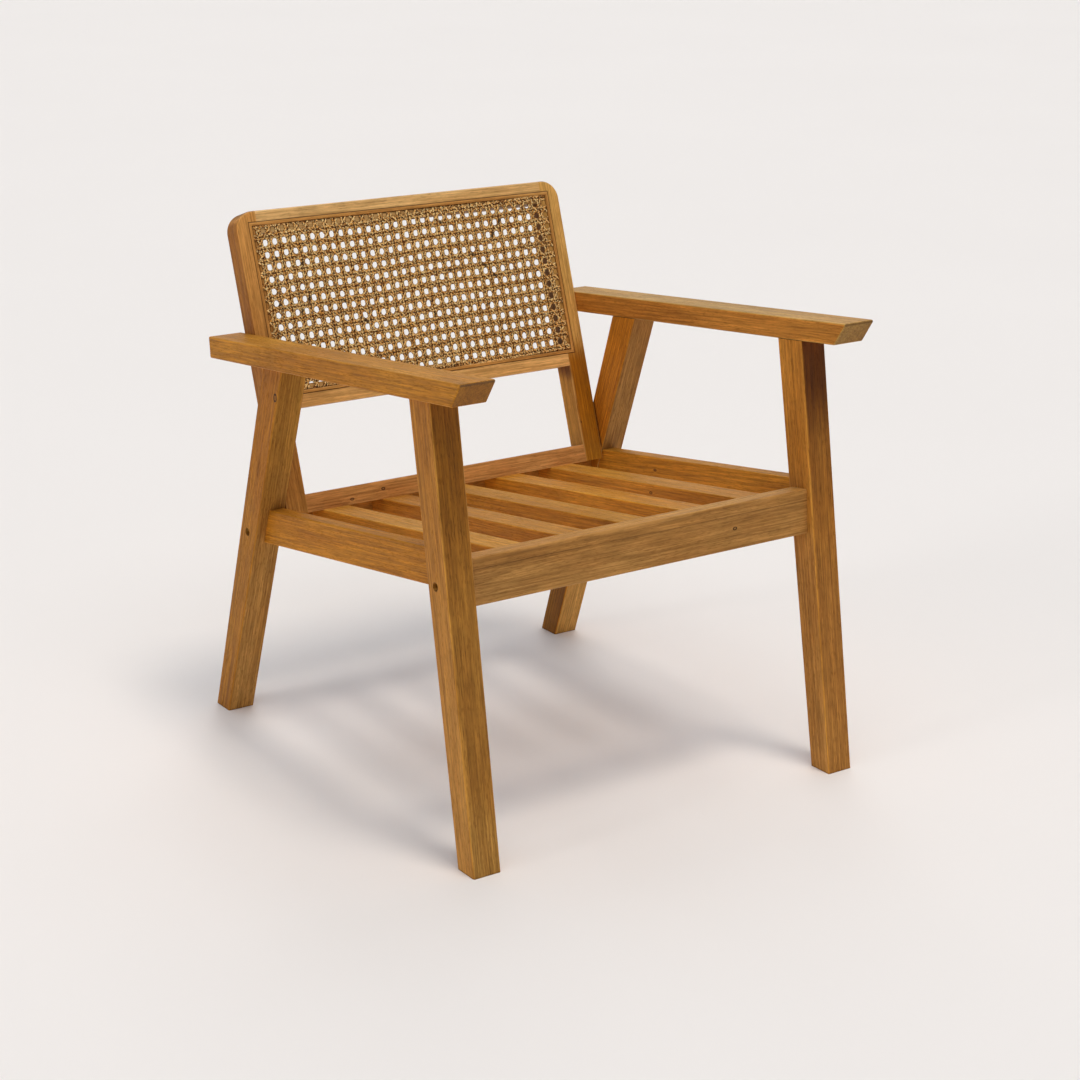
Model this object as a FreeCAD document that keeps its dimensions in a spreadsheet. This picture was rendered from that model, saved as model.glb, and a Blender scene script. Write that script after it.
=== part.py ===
import FreeCAD, Part
import os
import math
import Sketcher

# Cane-back lounge armchair in solid hardwood.
# Millimetres. +X is to the right for someone who looks at the front of the chair,
# the front faces -Y, +Z is up. The origin is on the floor, under the middle of the chair.

os.makedirs("parts", exist_ok=True)

doc = FreeCAD.newDocument("cane_back_armchair")
sheet = doc.addObject("Spreadsheet::Sheet", "dims")

CELLS = [
    # overall
    ("half_width", 321.5),        # outer face of the legs
    ("leg_width", 42.0),
    ("depth_mid", 362.17),        # from the front toe line to the middle of the depth
    # side view of the legs, measured back from the front toe line
    ("ref_high", 500.0),          # height at which the upper leg edges are given
    ("front_toe", 0.0),
    ("front_heel", 38.9),
    ("front_edge_high", 82.1),
    ("front_back_high", 131.0),
    ("rear_toe", 680.8),
    ("rear_heel", 720.7),
    ("rear_edge_high", 506.6),
    ("rear_back_high", 558.9),
    ("leg_round", 2.6),
    # armrests
    ("arm_front_back", 12.3),     # front tip of the top face
    ("arm_front_up", 650.7),
    ("arm_slope", 6.064),         # degrees, falls to the rear
    ("arm_length", 673.2),        # along the slope
    ("arm_thick", 31.0),
    ("arm_undercut", 25.5),
    ("arm_inner", 279.5),
    ("arm_width", 52.5),
    ("arm_round", 2.4),
    ("leg_tenon_len", 16.0),
    ("leg_tenon_wide", 20.0),
    ("leg_tenon_deep", 30.0),
    # seat plane
    ("seat_slope", 8.363),        # degrees, falls to the rear
    ("seat_back_ref", 105.0),     # rear top edge of the front rail
    ("seat_up_ref", 400.5),
    # front rail
    ("front_rail_thick", 31.0),
    ("front_rail_high", 64.0),
    ("front_rail_rake", 4.2),
    ("rail_round", 3.0),
    # side rails, slats and rear rail in the seat plane
    ("side_rail_inner", 282.0),
    ("side_rail_thick", 24.0),
    ("side_rail_high", 50.0),
    ("side_rail_over", 12.3),     # rise above the slats
    ("slat_wide", 43.0),
    ("slat_pitch", 100.0),
    ("slat_thick", 24.0),
    ("slat_tenon_len", 12.0),
    ("slat_tenon_thick", 12.0),
    ("slat_tenon_wide", 31.0),
    ("slat_round", 2.2),
    ("seat_run", 488.0),          # front rail to rear rail, along the slope
    ("rear_rail_thick", 28.0),
    ("rear_rail_high", 45.0),
    ("rail_tenon_thick", 12.0),
    ("rail_tenon_high", 30.0),
    # back frame
    ("recline", 18.35),           # degrees from upright
    ("back_ref_back", 542.2),     # front face of the frame, 300 above the floor
    ("back_ref_up", 300.0),
    ("back_half", 279.5),
    ("back_member", 33.0),
    ("back_thick", 35.0),
    ("back_top", 475.6),
    ("back_corner", 28.0),
    ("mid_rail_low", 187.2),
    ("low_rail_top", 62.8),
    ("back_round", 3.0),
    ("back_tenon_len", 22.0),
    ("back_tenon_thick", 12.0),
    ("back_tenon_front", 12.0),
    # cane and spline
    ("spline_half", 260.0),
    ("spline_wide", 6.5),
    ("spline_top", 459.4),
    ("spline_low", 206.4),
    ("groove_deep", 8.0),
    ("cane_thick", 1.8),
    ("cane_lip", 1.2),
    ("spline_round", 1.5),
    # fasteners
    ("bolt_dia", 6.0),
    ("bolt_hole", 6.6),
    ("bolt_head_dia", 10.0),
    ("bolt_head_high", 6.0),
    ("bolt_len", 60.0),
    ("bolt_key", 5.0),
    ("bore_dia", 12.0),
    ("bore_deep", 14.0),
    ("washer_dia", 11.6),
    ("washer_thick", 1.6),
    ("nut_dia", 10.0),
    ("nut_len", 18.0),
    ("nut_back", 56.0),           # bolt seat to the axis of the barrel nut
    ("front_bolt_back", 88.8),
    ("front_bolt_up", 371.0),
    ("front_dowel_back", 86.5),
    ("front_dowel_up", 353.0),
    ("rear_bolt_back", 600.0),
    ("rear_bolt_up", 306.0),
    ("rear_dowel_back", 596.0),
    ("rear_dowel_up", 290.5),
    ("dowel_dia", 8.0),
    ("dowel_len", 40.0),
    ("stile_dowel_dia", 10.0),
    ("stile_dowel_len", 44.0),
    ("stile_dowel_a_back", 579.5),
    ("stile_dowel_a_up", 360.0),
    ("stile_dowel_b_back", 585.0),
    ("stile_dowel_b_up", 387.0),
    ("arm_dowel_back", 649.0),
    ("arm_dowel_up", 567.0),
]

VALUE = {}
for row, (alias, number) in enumerate(CELLS, start=1):
    sheet.set("A%d" % row, alias)
    sheet.set("B%d" % row, str(number))
    sheet.setAlias("B%d" % row, alias)
    VALUE[alias] = number
doc.recompute()


class Q:
    """A size: its number now, and the expression on the sheet's cells that gives it."""

    def __init__(self, value, expr):
        self.v = value
        self.e = expr

    def __add__(self, o):
        o = q(o)
        return Q(self.v + o.v, "(%s + %s)" % (self.e, o.e))

    def __radd__(self, o):
        return q(o) + self

    def __sub__(self, o):
        o = q(o)
        return Q(self.v - o.v, "(%s - %s)" % (self.e, o.e))

    def __rsub__(self, o):
        return q(o) - self

    def __mul__(self, o):
        o = q(o)
        return Q(self.v * o.v, "(%s * %s)" % (self.e, o.e))

    def __rmul__(self, o):
        return q(o) * self

    def __truediv__(self, o):
        o = q(o)
        return Q(self.v / o.v, "(%s / %s)" % (self.e, o.e))

    def __neg__(self):
        return Q(-self.v, "(0 - %s)" % self.e)


def q(x):
    if isinstance(x, Q):
        return x
    if isinstance(x, str):
        return Q(VALUE[x], "dims.%s" % x)
    return Q(float(x), "%.6f" % x)


def tan(a):
    return Q(math.tan(math.radians(a.v)), "tan(%s * 1 deg)" % a.e)


def cos(a):
    return Q(math.cos(math.radians(a.v)), "cos(%s * 1 deg)" % a.e)


def sin(a):
    return Q(math.sin(math.radians(a.v)), "sin(%s * 1 deg)" % a.e)


def back(x):
    """Distance behind the front toe line as a Y coordinate."""
    return q(x) - q("depth_mid")


# ---------------------------------------------------------------- feature helpers

def plane_of(body, role):
    for f in body.Origin.OriginFeatures:
        if f.Role == role:
            return f
    raise RuntimeError(role)


def new_body(name):
    b = doc.addObject("PartDesign::Body", name)
    b.Label = name
    return b


def new_sketch(body, name, role, offset):
    sk = body.newObject("Sketcher::SketchObject", name)
    sk.AttachmentSupport = (plane_of(body, role), [""])
    sk.MapMode = "FlatFace"
    offset = q(offset)
    sk.AttachmentOffset = FreeCAD.Placement(FreeCAD.Vector(0, 0, offset.v), FreeCAD.Rotation())
    sk.setExpression("AttachmentOffset.Base.z", offset.e)
    return sk


def bind(sk, kind, args, size):
    """Adds a distance constraint and binds it to the sheet."""
    i = sk.addConstraint(Sketcher.Constraint(kind, *(list(args) + [size.v])))
    sk.setExpression("Constraints[%d]" % i, size.e)
    return i


def poly(sk, pts):
    pts = [(q(a), q(b)) for a, b in pts]
    n = len(pts)
    first = sk.GeometryCount
    for i in range(n):
        a, b = pts[i], pts[(i + 1) % n]
        sk.addGeometry(Part.LineSegment(FreeCAD.Vector(a[0].v, a[1].v, 0), FreeCAD.Vector(b[0].v, b[1].v, 0)), False)
    for i in range(n):
        sk.addConstraint(Sketcher.Constraint("Coincident", first + i, 2, first + (i + 1) % n, 1))
    for i in range(n):
        bind(sk, "DistanceX", (-1, 1, first + i, 1), pts[i][0])
        bind(sk, "DistanceY", (-1, 1, first + i, 1), pts[i][1])


def circle(sk, centre, dia):
    a, b, d = q(centre[0]), q(centre[1]), q(dia)
    g = sk.addGeometry(Part.Circle(FreeCAD.Vector(a.v, b.v, 0), FreeCAD.Vector(0, 0, 1), d.v / 2), False)
    bind(sk, "DistanceX", (-1, 1, g, 3), a)
    bind(sk, "DistanceY", (-1, 1, g, 3), b)
    bind(sk, "Diameter", (g,), d)


def pad(body, sk, name, length, reverse=False):
    f = body.newObject("PartDesign::Pad", name)
    f.Profile = (sk, [""])
    f.Type = "Length"
    f.Length = q(length).v
    f.setExpression("Length", q(length).e)
    f.Reversed = reverse
    doc.recompute()
    return f


def pocket(body, sk, name, length, reverse=True):
    """Cuts towards the sketch's normal when reverse is True."""
    before = body.Shape.Volume
    f = body.newObject("PartDesign::Pocket", name)
    f.Profile = (sk, [""])
    f.Type = "Length"
    f.Length = q(length).v
    f.setExpression("Length", q(length).e)
    f.Reversed = reverse
    doc.recompute()
    if not body.Shape.Volume < before - 1.0:
        raise RuntimeError("%s of %s cut nothing" % (name, body.Label))
    return f


def poly_pad(body, name, role, offset, pts, length, reverse=False):
    sk = new_sketch(body, name + "_sketch", role, offset)
    poly(sk, pts)
    return pad(body, sk, name, length, reverse)


def poly_cut(body, name, role, offset, pts, length, reverse=True):
    sk = new_sketch(body, name + "_sketch", role, offset)
    poly(sk, pts)
    return pocket(body, sk, name, length, reverse)


def round_cut(body, name, role, offset, centre, dia, length, reverse=True):
    sk = new_sketch(body, name + "_sketch", role, offset)
    circle(sk, centre, dia)
    return pocket(body, sk, name, length, reverse)


def soften(body, name, radius, pick):
    """Fillet of the edges for which pick(first_end, second_end, edge) is true."""
    tip = body.Tip
    names = []
    for i, e in enumerate(tip.Shape.Edges, start=1):
        a, b = e.Vertexes[0].Point, e.Vertexes[-1].Point
        if pick(a, b, e):
            names.append("Edge%d" % i)
    if not names:
        raise RuntimeError("no edge to round on " + body.Label)
    f = body.newObject("PartDesign::Fillet", name)
    f.Base = (tip, names)
    f.Radius = q(radius).v
    f.setExpression("Radius", q(radius).e)
    doc.recompute()
    return f


PARTS = []


def keep(obj, name):
    obj.Label = name
    PARTS.append((name, obj))
    return obj


def near(a, b, tol=0.02):
    return abs(a - b) < tol


# ---------------------------------------------------------------- derived sizes

inner = q("half_width") - q("leg_width")
high = q("ref_high")
front_edge_slope = (q("front_edge_high") - q("front_toe")) / high
front_back_slope = (q("front_back_high") - q("front_heel")) / high
rear_edge_slope = (q("rear_edge_high") - q("rear_toe")) / high
rear_back_slope = (q("rear_back_high") - q("rear_heel")) / high


def leg_y(foot, slope, z):
    return back(q(foot) + slope * z)


arm_c, arm_s = cos(q("arm_slope")), sin(q("arm_slope"))


def arm_at(along, down):
    """Point of the side view: along the armrest from its front tip, and down through its thickness."""
    along, down = q(along), q(down)
    y = q("arm_front_back") + along * arm_c - down * arm_s
    z = q("arm_front_up") - along * arm_s - down * arm_c
    return (y - q("depth_mid"), z)


seat_c, seat_s = cos(q("seat_slope")), sin(q("seat_slope"))


def seat_at(run, over):
    """Point of the side view: run back along the seat plane, and over it."""
    run, over = q(run), q(over)
    y = q("seat_back_ref") + run * seat_c + over * seat_s
    z = q("seat_up_ref") - run * seat_s + over * seat_c
    return (y - q("depth_mid"), z)


SIDES = (("left", -1), ("right", 1))


def slab(side, near_x, thick):
    """Sketch offset for a slab from near_x to near_x + thick on the given side."""
    near_x, thick = q(near_x), q(thick)
    if side > 0:
        return near_x
    return -(near_x + thick)


# ---------------------------------------------------------------- leg to armrest tenons
# along-arm positions of the two tenons
front_tenon_mid = 111.2
rear_tenon_mid = 497.3


def tenon_on_arm(mid):
    half = q("leg_tenon_deep") / 2
    m = q(mid)
    t = q("arm_thick")
    return [
        arm_at(m - half, t + 6),
        arm_at(m + half, t + 6),
        arm_at(m + half, t - q("leg_tenon_len")),
        arm_at(m - half, t - q("leg_tenon_len")),
    ]


tenon_x = inner + (q("leg_width") - q("leg_tenon_wide")) / 2


def rail_tenon(run0, run1):
    """Side rail tenon, as a box in the seat plane's frame."""
    top = q("side_rail_over") - (q("side_rail_high") - q("rail_tenon_high")) / 2
    low = top - q("rail_tenon_high")
    return [seat_at(run0, low), seat_at(run1, low), seat_at(run1, top), seat_at(run0, top)]


rail_tenon_x = q("side_rail_inner") + (q("side_rail_thick") - q("rail_tenon_thick")) / 2
FRONT_TENON = (-11.0, 14.0)
REAR_TENON = (454.0, 484.0)

# ---------------------------------------------------------------- legs
for side_name, side in SIDES:
    # front leg: raked, foot forward, deeper at the top than at the foot
    name = "%s_front_leg" % side_name
    b = new_body(name)
    x0 = slab(side, inner, q("leg_width"))
    z_hi = q(640.0)
    poly_pad(b, name + "_blank", "YZ_Plane", x0, [
        (leg_y("front_toe", front_edge_slope, q(0.0)), q(0.0)),
        (leg_y("front_heel", front_back_slope, q(0.0)), q(0.0)),
        (leg_y("front_heel", front_back_slope, z_hi), z_hi),
        (leg_y("front_toe", front_edge_slope, z_hi), z_hi),
    ], "leg_width")
    poly_cut(b, name + "_top", "YZ_Plane", x0, [
        arm_at(20.0, q("arm_thick")), arm_at(240.0, q("arm_thick")),
        arm_at(240.0, q("arm_thick") - 90), arm_at(20.0, q("arm_thick") - 90)], "leg_width")
    soften(b, name + "_round", "leg_round", lambda a, c, e: near(a.x, c.x) and abs(a.z - c.z) > 300)
    poly_pad(b, name + "_tenon", "YZ_Plane", slab(side, tenon_x, q("leg_tenon_wide")), tenon_on_arm(front_tenon_mid), "leg_tenon_wide")
    poly_cut(b, name + "_mortise", "YZ_Plane", slab(side, rail_tenon_x, q("rail_tenon_thick")), rail_tenon(*FRONT_TENON), "rail_tenon_thick")
    c = (back("front_bolt_back"), q("front_bolt_up"))
    d = (back("front_dowel_back"), q("front_dowel_up"))
    round_cut(b, name + "_bolt_hole", "YZ_Plane", x0, c, "bolt_hole", "leg_width")
    round_cut(b, name + "_bolt_bore", "YZ_Plane", slab(side, q("half_width") - q("bore_deep"), q("bore_deep")), c, "bore_dia", "bore_deep")
    round_cut(b, name + "_dowel_hole", "YZ_Plane", slab(side, inner, q("dowel_len") / 2), d, "dowel_dia", q("dowel_len") / 2)
    keep(b, name)

    # rear leg: raked, foot far back
    name = "%s_rear_leg" % side_name
    b = new_body(name)
    z_hi = q(600.0)
    poly_pad(b, name + "_blank", "YZ_Plane", x0, [
        (leg_y("rear_toe", rear_edge_slope, q(0.0)), q(0.0)),
        (leg_y("rear_heel", rear_back_slope, q(0.0)), q(0.0)),
        (leg_y("rear_heel", rear_back_slope, z_hi), z_hi),
        (leg_y("rear_toe", rear_edge_slope, z_hi), z_hi),
    ], "leg_width")
    poly_cut(b, name + "_top", "YZ_Plane", x0, [
        arm_at(400.0, q("arm_thick")), arm_at(600.0, q("arm_thick")),
        arm_at(600.0, q("arm_thick") - 90), arm_at(400.0, q("arm_thick") - 90)], "leg_width")
    soften(b, name + "_round", "leg_round", lambda a, c, e: near(a.x, c.x) and abs(a.z - c.z) > 300)
    poly_pad(b, name + "_tenon", "YZ_Plane", slab(side, tenon_x, q("leg_tenon_wide")), tenon_on_arm(rear_tenon_mid), "leg_tenon_wide")
    poly_cut(b, name + "_mortise", "YZ_Plane", slab(side, rail_tenon_x, q("rail_tenon_thick")), rail_tenon(*REAR_TENON), "rail_tenon_thick")
    c = (back("rear_bolt_back"), q("rear_bolt_up"))
    d = (back("rear_dowel_back"), q("rear_dowel_up"))
    round_cut(b, name + "_bolt_hole", "YZ_Plane", x0, c, "bolt_hole", "leg_width")
    round_cut(b, name + "_bolt_bore", "YZ_Plane", slab(side, q("half_width") - q("bore_deep"), q("bore_deep")), c, "bore_dia", "bore_deep")
    round_cut(b, name + "_dowel_hole", "YZ_Plane", slab(side, inner, q("dowel_len") / 2), d, "dowel_dia", q("dowel_len") / 2)
    for k in ("a", "b"):
        round_cut(b, name + "_stile_dowel_" + k, "YZ_Plane", slab(side, inner, q("stile_dowel_len") / 2),
                  (back("stile_dowel_%s_back" % k), q("stile_dowel_%s_up" % k)), "stile_dowel_dia", q("stile_dowel_len") / 2)
    keep(b, name)

    # armrest: flat board on the leg tops, front end undercut
    name = "%s_armrest" % side_name
    b = new_body(name)
    x0 = slab(side, "arm_inner", "arm_width")
    poly_pad(b, name + "_blank", "YZ_Plane", x0, [
        arm_at(0.0, 0.0), arm_at("arm_length", 0.0), arm_at("arm_length", "arm_thick"),
        arm_at("arm_undercut", "arm_thick")], "arm_width")
    soften(b, name + "_round", "arm_round", lambda a, c, e: True)
    for tag, mid in (("front", front_tenon_mid), ("rear", rear_tenon_mid)):
        poly_cut(b, "%s_%s_mortise" % (name, tag), "YZ_Plane", slab(side, tenon_x, q("leg_tenon_wide")), tenon_on_arm(mid), "leg_tenon_wide")
    round_cut(b, name + "_dowel_hole", "YZ_Plane", slab(side, "arm_inner", q("dowel_len") / 2),
              (back("arm_dowel_back"), q("arm_dowel_up")), "dowel_dia", q("dowel_len") / 2)
    keep(b, name)

    # side rail: parallel to the seat plane, between the two legs
    name = "%s_side_rail" % side_name
    b = new_body(name)
    x0 = slab(side, "side_rail_inner", "side_rail_thick")
    top = q("side_rail_over")
    low = top - q("side_rail_high")

    def on_front_leg(over):
        """Where the seat-plane line at this height meets the front leg's back edge."""
        o = q(over)
        # y = foot + slope * z on the leg; y = ref + run*c + over*s, z = up - run*s + over*c
        run = (q("front_heel") + front_back_slope * (q("seat_up_ref") + o * seat_c) - q("seat_back_ref") - o * seat_s) / (seat_c + front_back_slope * seat_s)
        return seat_at(run, o)

    def on_rear_leg(over):
        o = q(over)
        run = (q("rear_toe") + rear_edge_slope * (q("seat_up_ref") + o * seat_c) - q("seat_back_ref") - o * seat_s) / (seat_c + rear_edge_slope * seat_s)
        return seat_at(run, o)

    poly_pad(b, name + "_blank", "YZ_Plane", x0, [on_front_leg(low), on_rear_leg(low), on_rear_leg(top), on_front_leg(top)], "side_rail_thick")
    soften(b, name + "_round", "leg_round", lambda a, c, e: near(a.x, c.x) and abs(a.y - c.y) > 300)
    poly_pad(b, name + "_front_tenon", "YZ_Plane", slab(side, rail_tenon_x, q("rail_tenon_thick")), rail_tenon(FRONT_TENON[0], 30.0), "rail_tenon_thick")
    poly_pad(b, name + "_rear_tenon", "YZ_Plane", slab(side, rail_tenon_x, q("rail_tenon_thick")), rail_tenon(430.0, REAR_TENON[1]), "rail_tenon_thick")
    keep(b, name)

# ---------------------------------------------------------------- front seat rail
rake = tan(q("seat_slope") - q("front_rail_rake"))   # of the rail's faces, against the seat plane's normal


def front_face(over):
    return seat_at(-q("front_rail_thick") - q(over) * rake, over)


def rear_face(over):
    return seat_at(-q(over) * rake, over)


b = new_body("front_seat_rail")
poly_pad(b, "front_seat_rail_blank", "YZ_Plane", -inner, [
    front_face(-q("front_rail_high")), rear_face(-q("front_rail_high")), rear_face(0.0), front_face(0.0)], inner * 2)
soften(b, "front_seat_rail_round", "rail_round", lambda a, c, e: abs(a.x - c.x) > 300 and a.y < -265)
for i in range(5):
    x_mid = q("slat_pitch") * float(i - 2)
    poly_cut(b, "front_seat_rail_mortise_%d" % (i + 1), "YZ_Plane", x_mid - q("slat_tenon_wide") / 2, [
        seat_at(-q("slat_tenon_len"), -6.0), seat_at(6.0, -6.0),
        seat_at(6.0, -6 - q("slat_tenon_thick")), seat_at(-q("slat_tenon_len"), -6 - q("slat_tenon_thick"))], "slat_tenon_wide")
bolt_seat = q("half_width") - q("bore_deep")
nut_x = bolt_seat - q("nut_back")
tip_x = bolt_seat - q("bolt_len") - 4
for side_name, side in SIDES:
    c = (back("front_bolt_back"), q("front_bolt_up"))
    d = (back("front_dowel_back"), q("front_dowel_up"))
    round_cut(b, "front_seat_rail_%s_bolt" % side_name, "YZ_Plane", slab(side, tip_x, inner - tip_x), c, "bolt_hole", inner - tip_x)
    round_cut(b, "front_seat_rail_%s_dowel" % side_name, "YZ_Plane", slab(side, inner - q("dowel_len") / 2, q("dowel_len") / 2), d, "dowel_dia", q("dowel_len") / 2)
    # barrel nut hole, from the rail's rear face
    round_cut(b, "front_seat_rail_%s_nut" % side_name, "XZ_Plane", -(back("front_bolt_back") + 20), (nut_x * float(side), q("front_bolt_up")), "nut_dia", q("nut_len") / 2 + 20)
keep(b, "front_seat_rail")

# ---------------------------------------------------------------- rear seat rail
b = new_body("rear_seat_rail")
run = q("seat_run")
poly_pad(b, "rear_seat_rail_blank", "YZ_Plane", -inner, [
    seat_at(run, -q("rear_rail_high")), seat_at(run + q("rear_rail_thick"), -q("rear_rail_high")),
    seat_at(run + q("rear_rail_thick"), 0.0), seat_at(run, 0.0)], inner * 2)
soften(b, "rear_seat_rail_round", "slat_round", lambda a, c, e: abs(a.x - c.x) > 300 and not (a.z > 326 and a.y < 235))
for i in range(5):
    x_mid = q("slat_pitch") * float(i - 2)
    poly_cut(b, "rear_seat_rail_mortise_%d" % (i + 1), "YZ_Plane", x_mid - q("slat_tenon_wide") / 2, [
        seat_at(run - 6, -6.0), seat_at(run + q("slat_tenon_len"), -6.0),
        seat_at(run + q("slat_tenon_len"), -6 - q("slat_tenon_thick")), seat_at(run - 6, -6 - q("slat_tenon_thick"))], "slat_tenon_wide")
for side_name, side in SIDES:
    c = (back("rear_bolt_back"), q("rear_bolt_up"))
    d = (back("rear_dowel_back"), q("rear_dowel_up"))
    round_cut(b, "rear_seat_rail_%s_bolt" % side_name, "YZ_Plane", slab(side, tip_x, inner - tip_x), c, "bolt_hole", inner - tip_x)
    round_cut(b, "rear_seat_rail_%s_dowel" % side_name, "YZ_Plane", slab(side, inner - q("dowel_len") / 2, q("dowel_len") / 2), d, "dowel_dia", q("dowel_len") / 2)
    # barrel nut hole, from the rail's front face
    round_cut(b, "rear_seat_rail_%s_nut" % side_name, "XZ_Plane", -(back("rear_bolt_back") - 26), (nut_x * float(side), q("rear_bolt_up")), "nut_dia", q("nut_len") / 2 + 26, reverse=False)
keep(b, "rear_seat_rail")

# ---------------------------------------------------------------- seat slats
for i in range(5):
    name = "seat_slat_%d" % (i + 1)
    b = new_body(name)
    t = q("slat_thick")
    poly_pad(b, name + "_blank", "YZ_Plane", -(q("slat_wide") / 2), [
        rear_face(-t), seat_at(run, -t), seat_at(run, 0.0), rear_face(0.0)], "slat_wide")
    soften(b, name + "_round", "slat_round", lambda a, c, e: near(a.x, c.x) and abs(a.y - c.y) > 300)
    poly_pad(b, name + "_front_tenon", "YZ_Plane", -(q("slat_tenon_wide") / 2), [
        seat_at(-q("slat_tenon_len"), -6.0), seat_at(8.0, -6.0),
        seat_at(8.0, -6 - q("slat_tenon_thick")), seat_at(-q("slat_tenon_len"), -6 - q("slat_tenon_thick"))], "slat_tenon_wide")
    poly_pad(b, name + "_rear_tenon", "YZ_Plane", -(q("slat_tenon_wide") / 2), [
        seat_at(run - 8, -6.0), seat_at(run + q("slat_tenon_len"), -6.0),
        seat_at(run + q("slat_tenon_len"), -6 - q("slat_tenon_thick")), seat_at(run - 8, -6 - q("slat_tenon_thick"))], "slat_tenon_wide")
    b.Placement = FreeCAD.Placement(FreeCAD.Vector(VALUE["slat_pitch"] * (i - 2), 0, 0), FreeCAD.Rotation())
    b.setExpression("Placement.Base.x", "dims.slat_pitch * %d" % (i - 2))
    keep(b, name)

# ---------------------------------------------------------------- back frame
# Drawn flat: x across, y up the frame, the front face at z = 0 and the back at -back_thick.
# The placement leans it back.


def lean(b):
    ang = 90.0 - VALUE["recline"]
    b.Placement = FreeCAD.Placement(
        FreeCAD.Vector(0, VALUE["back_ref_back"] - VALUE["depth_mid"], VALUE["back_ref_up"]),
        FreeCAD.Rotation(FreeCAD.Vector(1, 0, 0), ang))
    b.setExpression("Placement.Rotation.Angle", "90 - dims.recline")
    b.setExpression("Placement.Base.y", "dims.back_ref_back - dims.depth_mid")
    b.setExpression("Placement.Base.z", "dims.back_ref_up")


# height up the frame at which its front face meets the seat plane
rc, rs = cos(q("recline")), sin(q("recline"))
seat_tan = tan(q("seat_slope"))
foot_front = (q("seat_up_ref") - seat_tan * (q("back_ref_back") - q("seat_back_ref")) - q("back_ref_up")) / (rc + seat_tan * rs)
foot_rise = q("back_thick") * tan(q("recline") - q("seat_slope"))
foot_back = foot_front + foot_rise

opening_half = q("back_half") - q("back_member")
opening_top = q("back_top") - q("back_member")
mid_top = q("mid_rail_low") + q("back_member")
sp_in = q("spline_half") - q("spline_wide")
sp_top_in = q("spline_top") - q("spline_wide")
sp_low_in = q("spline_low") + q("spline_wide")


def box_pts(x0, x1, y0, y1):
    return [(x0, y0), (x1, y0), (x1, y1), (x0, y1)]


def cane_seat(b, name):
    """Groove for the spline and the shallow recess that the cane lies in."""
    sk = new_sketch(b, name + "_groove_sketch", "XY_Plane", 0.0)
    poly(sk, box_pts(-q("spline_half"), q("spline_half"), q("spline_low"), q("spline_top")))
    poly(sk, box_pts(-sp_in, sp_in, sp_low_in, sp_top_in))
    pocket(b, sk, name + "_groove", "groove_deep", reverse=False)
    poly_cut(b, name + "_recess", "XY_Plane", 0.0, box_pts(-sp_in, sp_in, sp_low_in, sp_top_in), "cane_thick", reverse=False)


RAIL_ROWS = (
    # name, lower edge, upper edge, tenon lower, tenon upper
    ("top", opening_top, q("back_top"), opening_top + 5, q("back_top") - 9),
    ("middle", q("mid_rail_low"), mid_top, q("mid_rail_low") + 5, mid_top - 5),
    ("bottom", None, q("low_rail_top"), foot_back + 2, q("low_rail_top") - 4),
)
tz = -q("back_tenon_front")           # front face of every tenon

for side_name, side in SIDES:
    name = "%s_back_stile" % side_name
    b = new_body(name)
    poly_pad(b, name + "_blank", "YZ_Plane", slab(side, opening_half, "back_member"), [
        (foot_front, q(0.0)), (q("back_top"), q(0.0)), (q("back_top"), -q("back_thick")), (foot_back, -q("back_thick"))], "back_member")
    soften(b, name + "_corner", "back_corner", lambda a, c, e: near(a.y, c.y) and near(a.x, c.x) and a.y > 400 and abs(a.x) > 270)

    def outer(a, c, e):
        # both rims of the outer side face, up and over the rounded corner
        m = e.valueAt((e.FirstParameter + e.LastParameter) / 2)
        flat = near(a.z, c.z, 0.01)
        return flat and (near(abs(m.x), 280.0, 0.1) or (near(m.y, 475.6, 0.1)) or (abs(m.x) > 253 and m.y > 445 and not near(a.x, c.x)))

    soften(b, name + "_round", "back_round", outer)
    for rail, lo, hi, t0, t1 in RAIL_ROWS:
        poly_cut(b, "%s_%s_mortise" % (name, rail), "XY_Plane", tz, box_pts(
            *((opening_half - 4, opening_half + q("back_tenon_len")) if side > 0 else (-(opening_half + q("back_tenon_len")), -(opening_half - 4))),
            t0, t1), "back_tenon_thick", reverse=False)
    cane_seat(b, name)
    lean(b)
    keep(b, name)

for rail, lo, hi, t0, t1 in RAIL_ROWS:
    name = "back_%s_rail" % rail
    b = new_body(name)
    if rail == "bottom":
        prof = [(foot_front, q(0.0)), (hi, q(0.0)), (hi, -q("back_thick")), (foot_back, -q("back_thick"))]
    else:
        prof = [(lo, q(0.0)), (hi, q(0.0)), (hi, -q("back_thick")), (lo, -q("back_thick"))]
    poly_pad(b, name + "_blank", "YZ_Plane", -opening_half, prof, opening_half * 2)
    if rail == "top":
        soften(b, name + "_round", "back_round", lambda a, c, e: abs(a.x - c.x) > 300 and a.y > 470)
    for side_name, side in SIDES:
        xs = (opening_half - 4, opening_half + q("back_tenon_len")) if side > 0 else (-(opening_half + q("back_tenon_len")), -(opening_half - 4))
        poly_pad(b, "%s_%s_tenon" % (name, side_name), "XY_Plane", tz, box_pts(xs[0], xs[1], t0, t1), "back_tenon_thick", reverse=True)
    if rail != "bottom":
        cane_seat(b, name)
    lean(b)
    keep(b, name)

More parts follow.
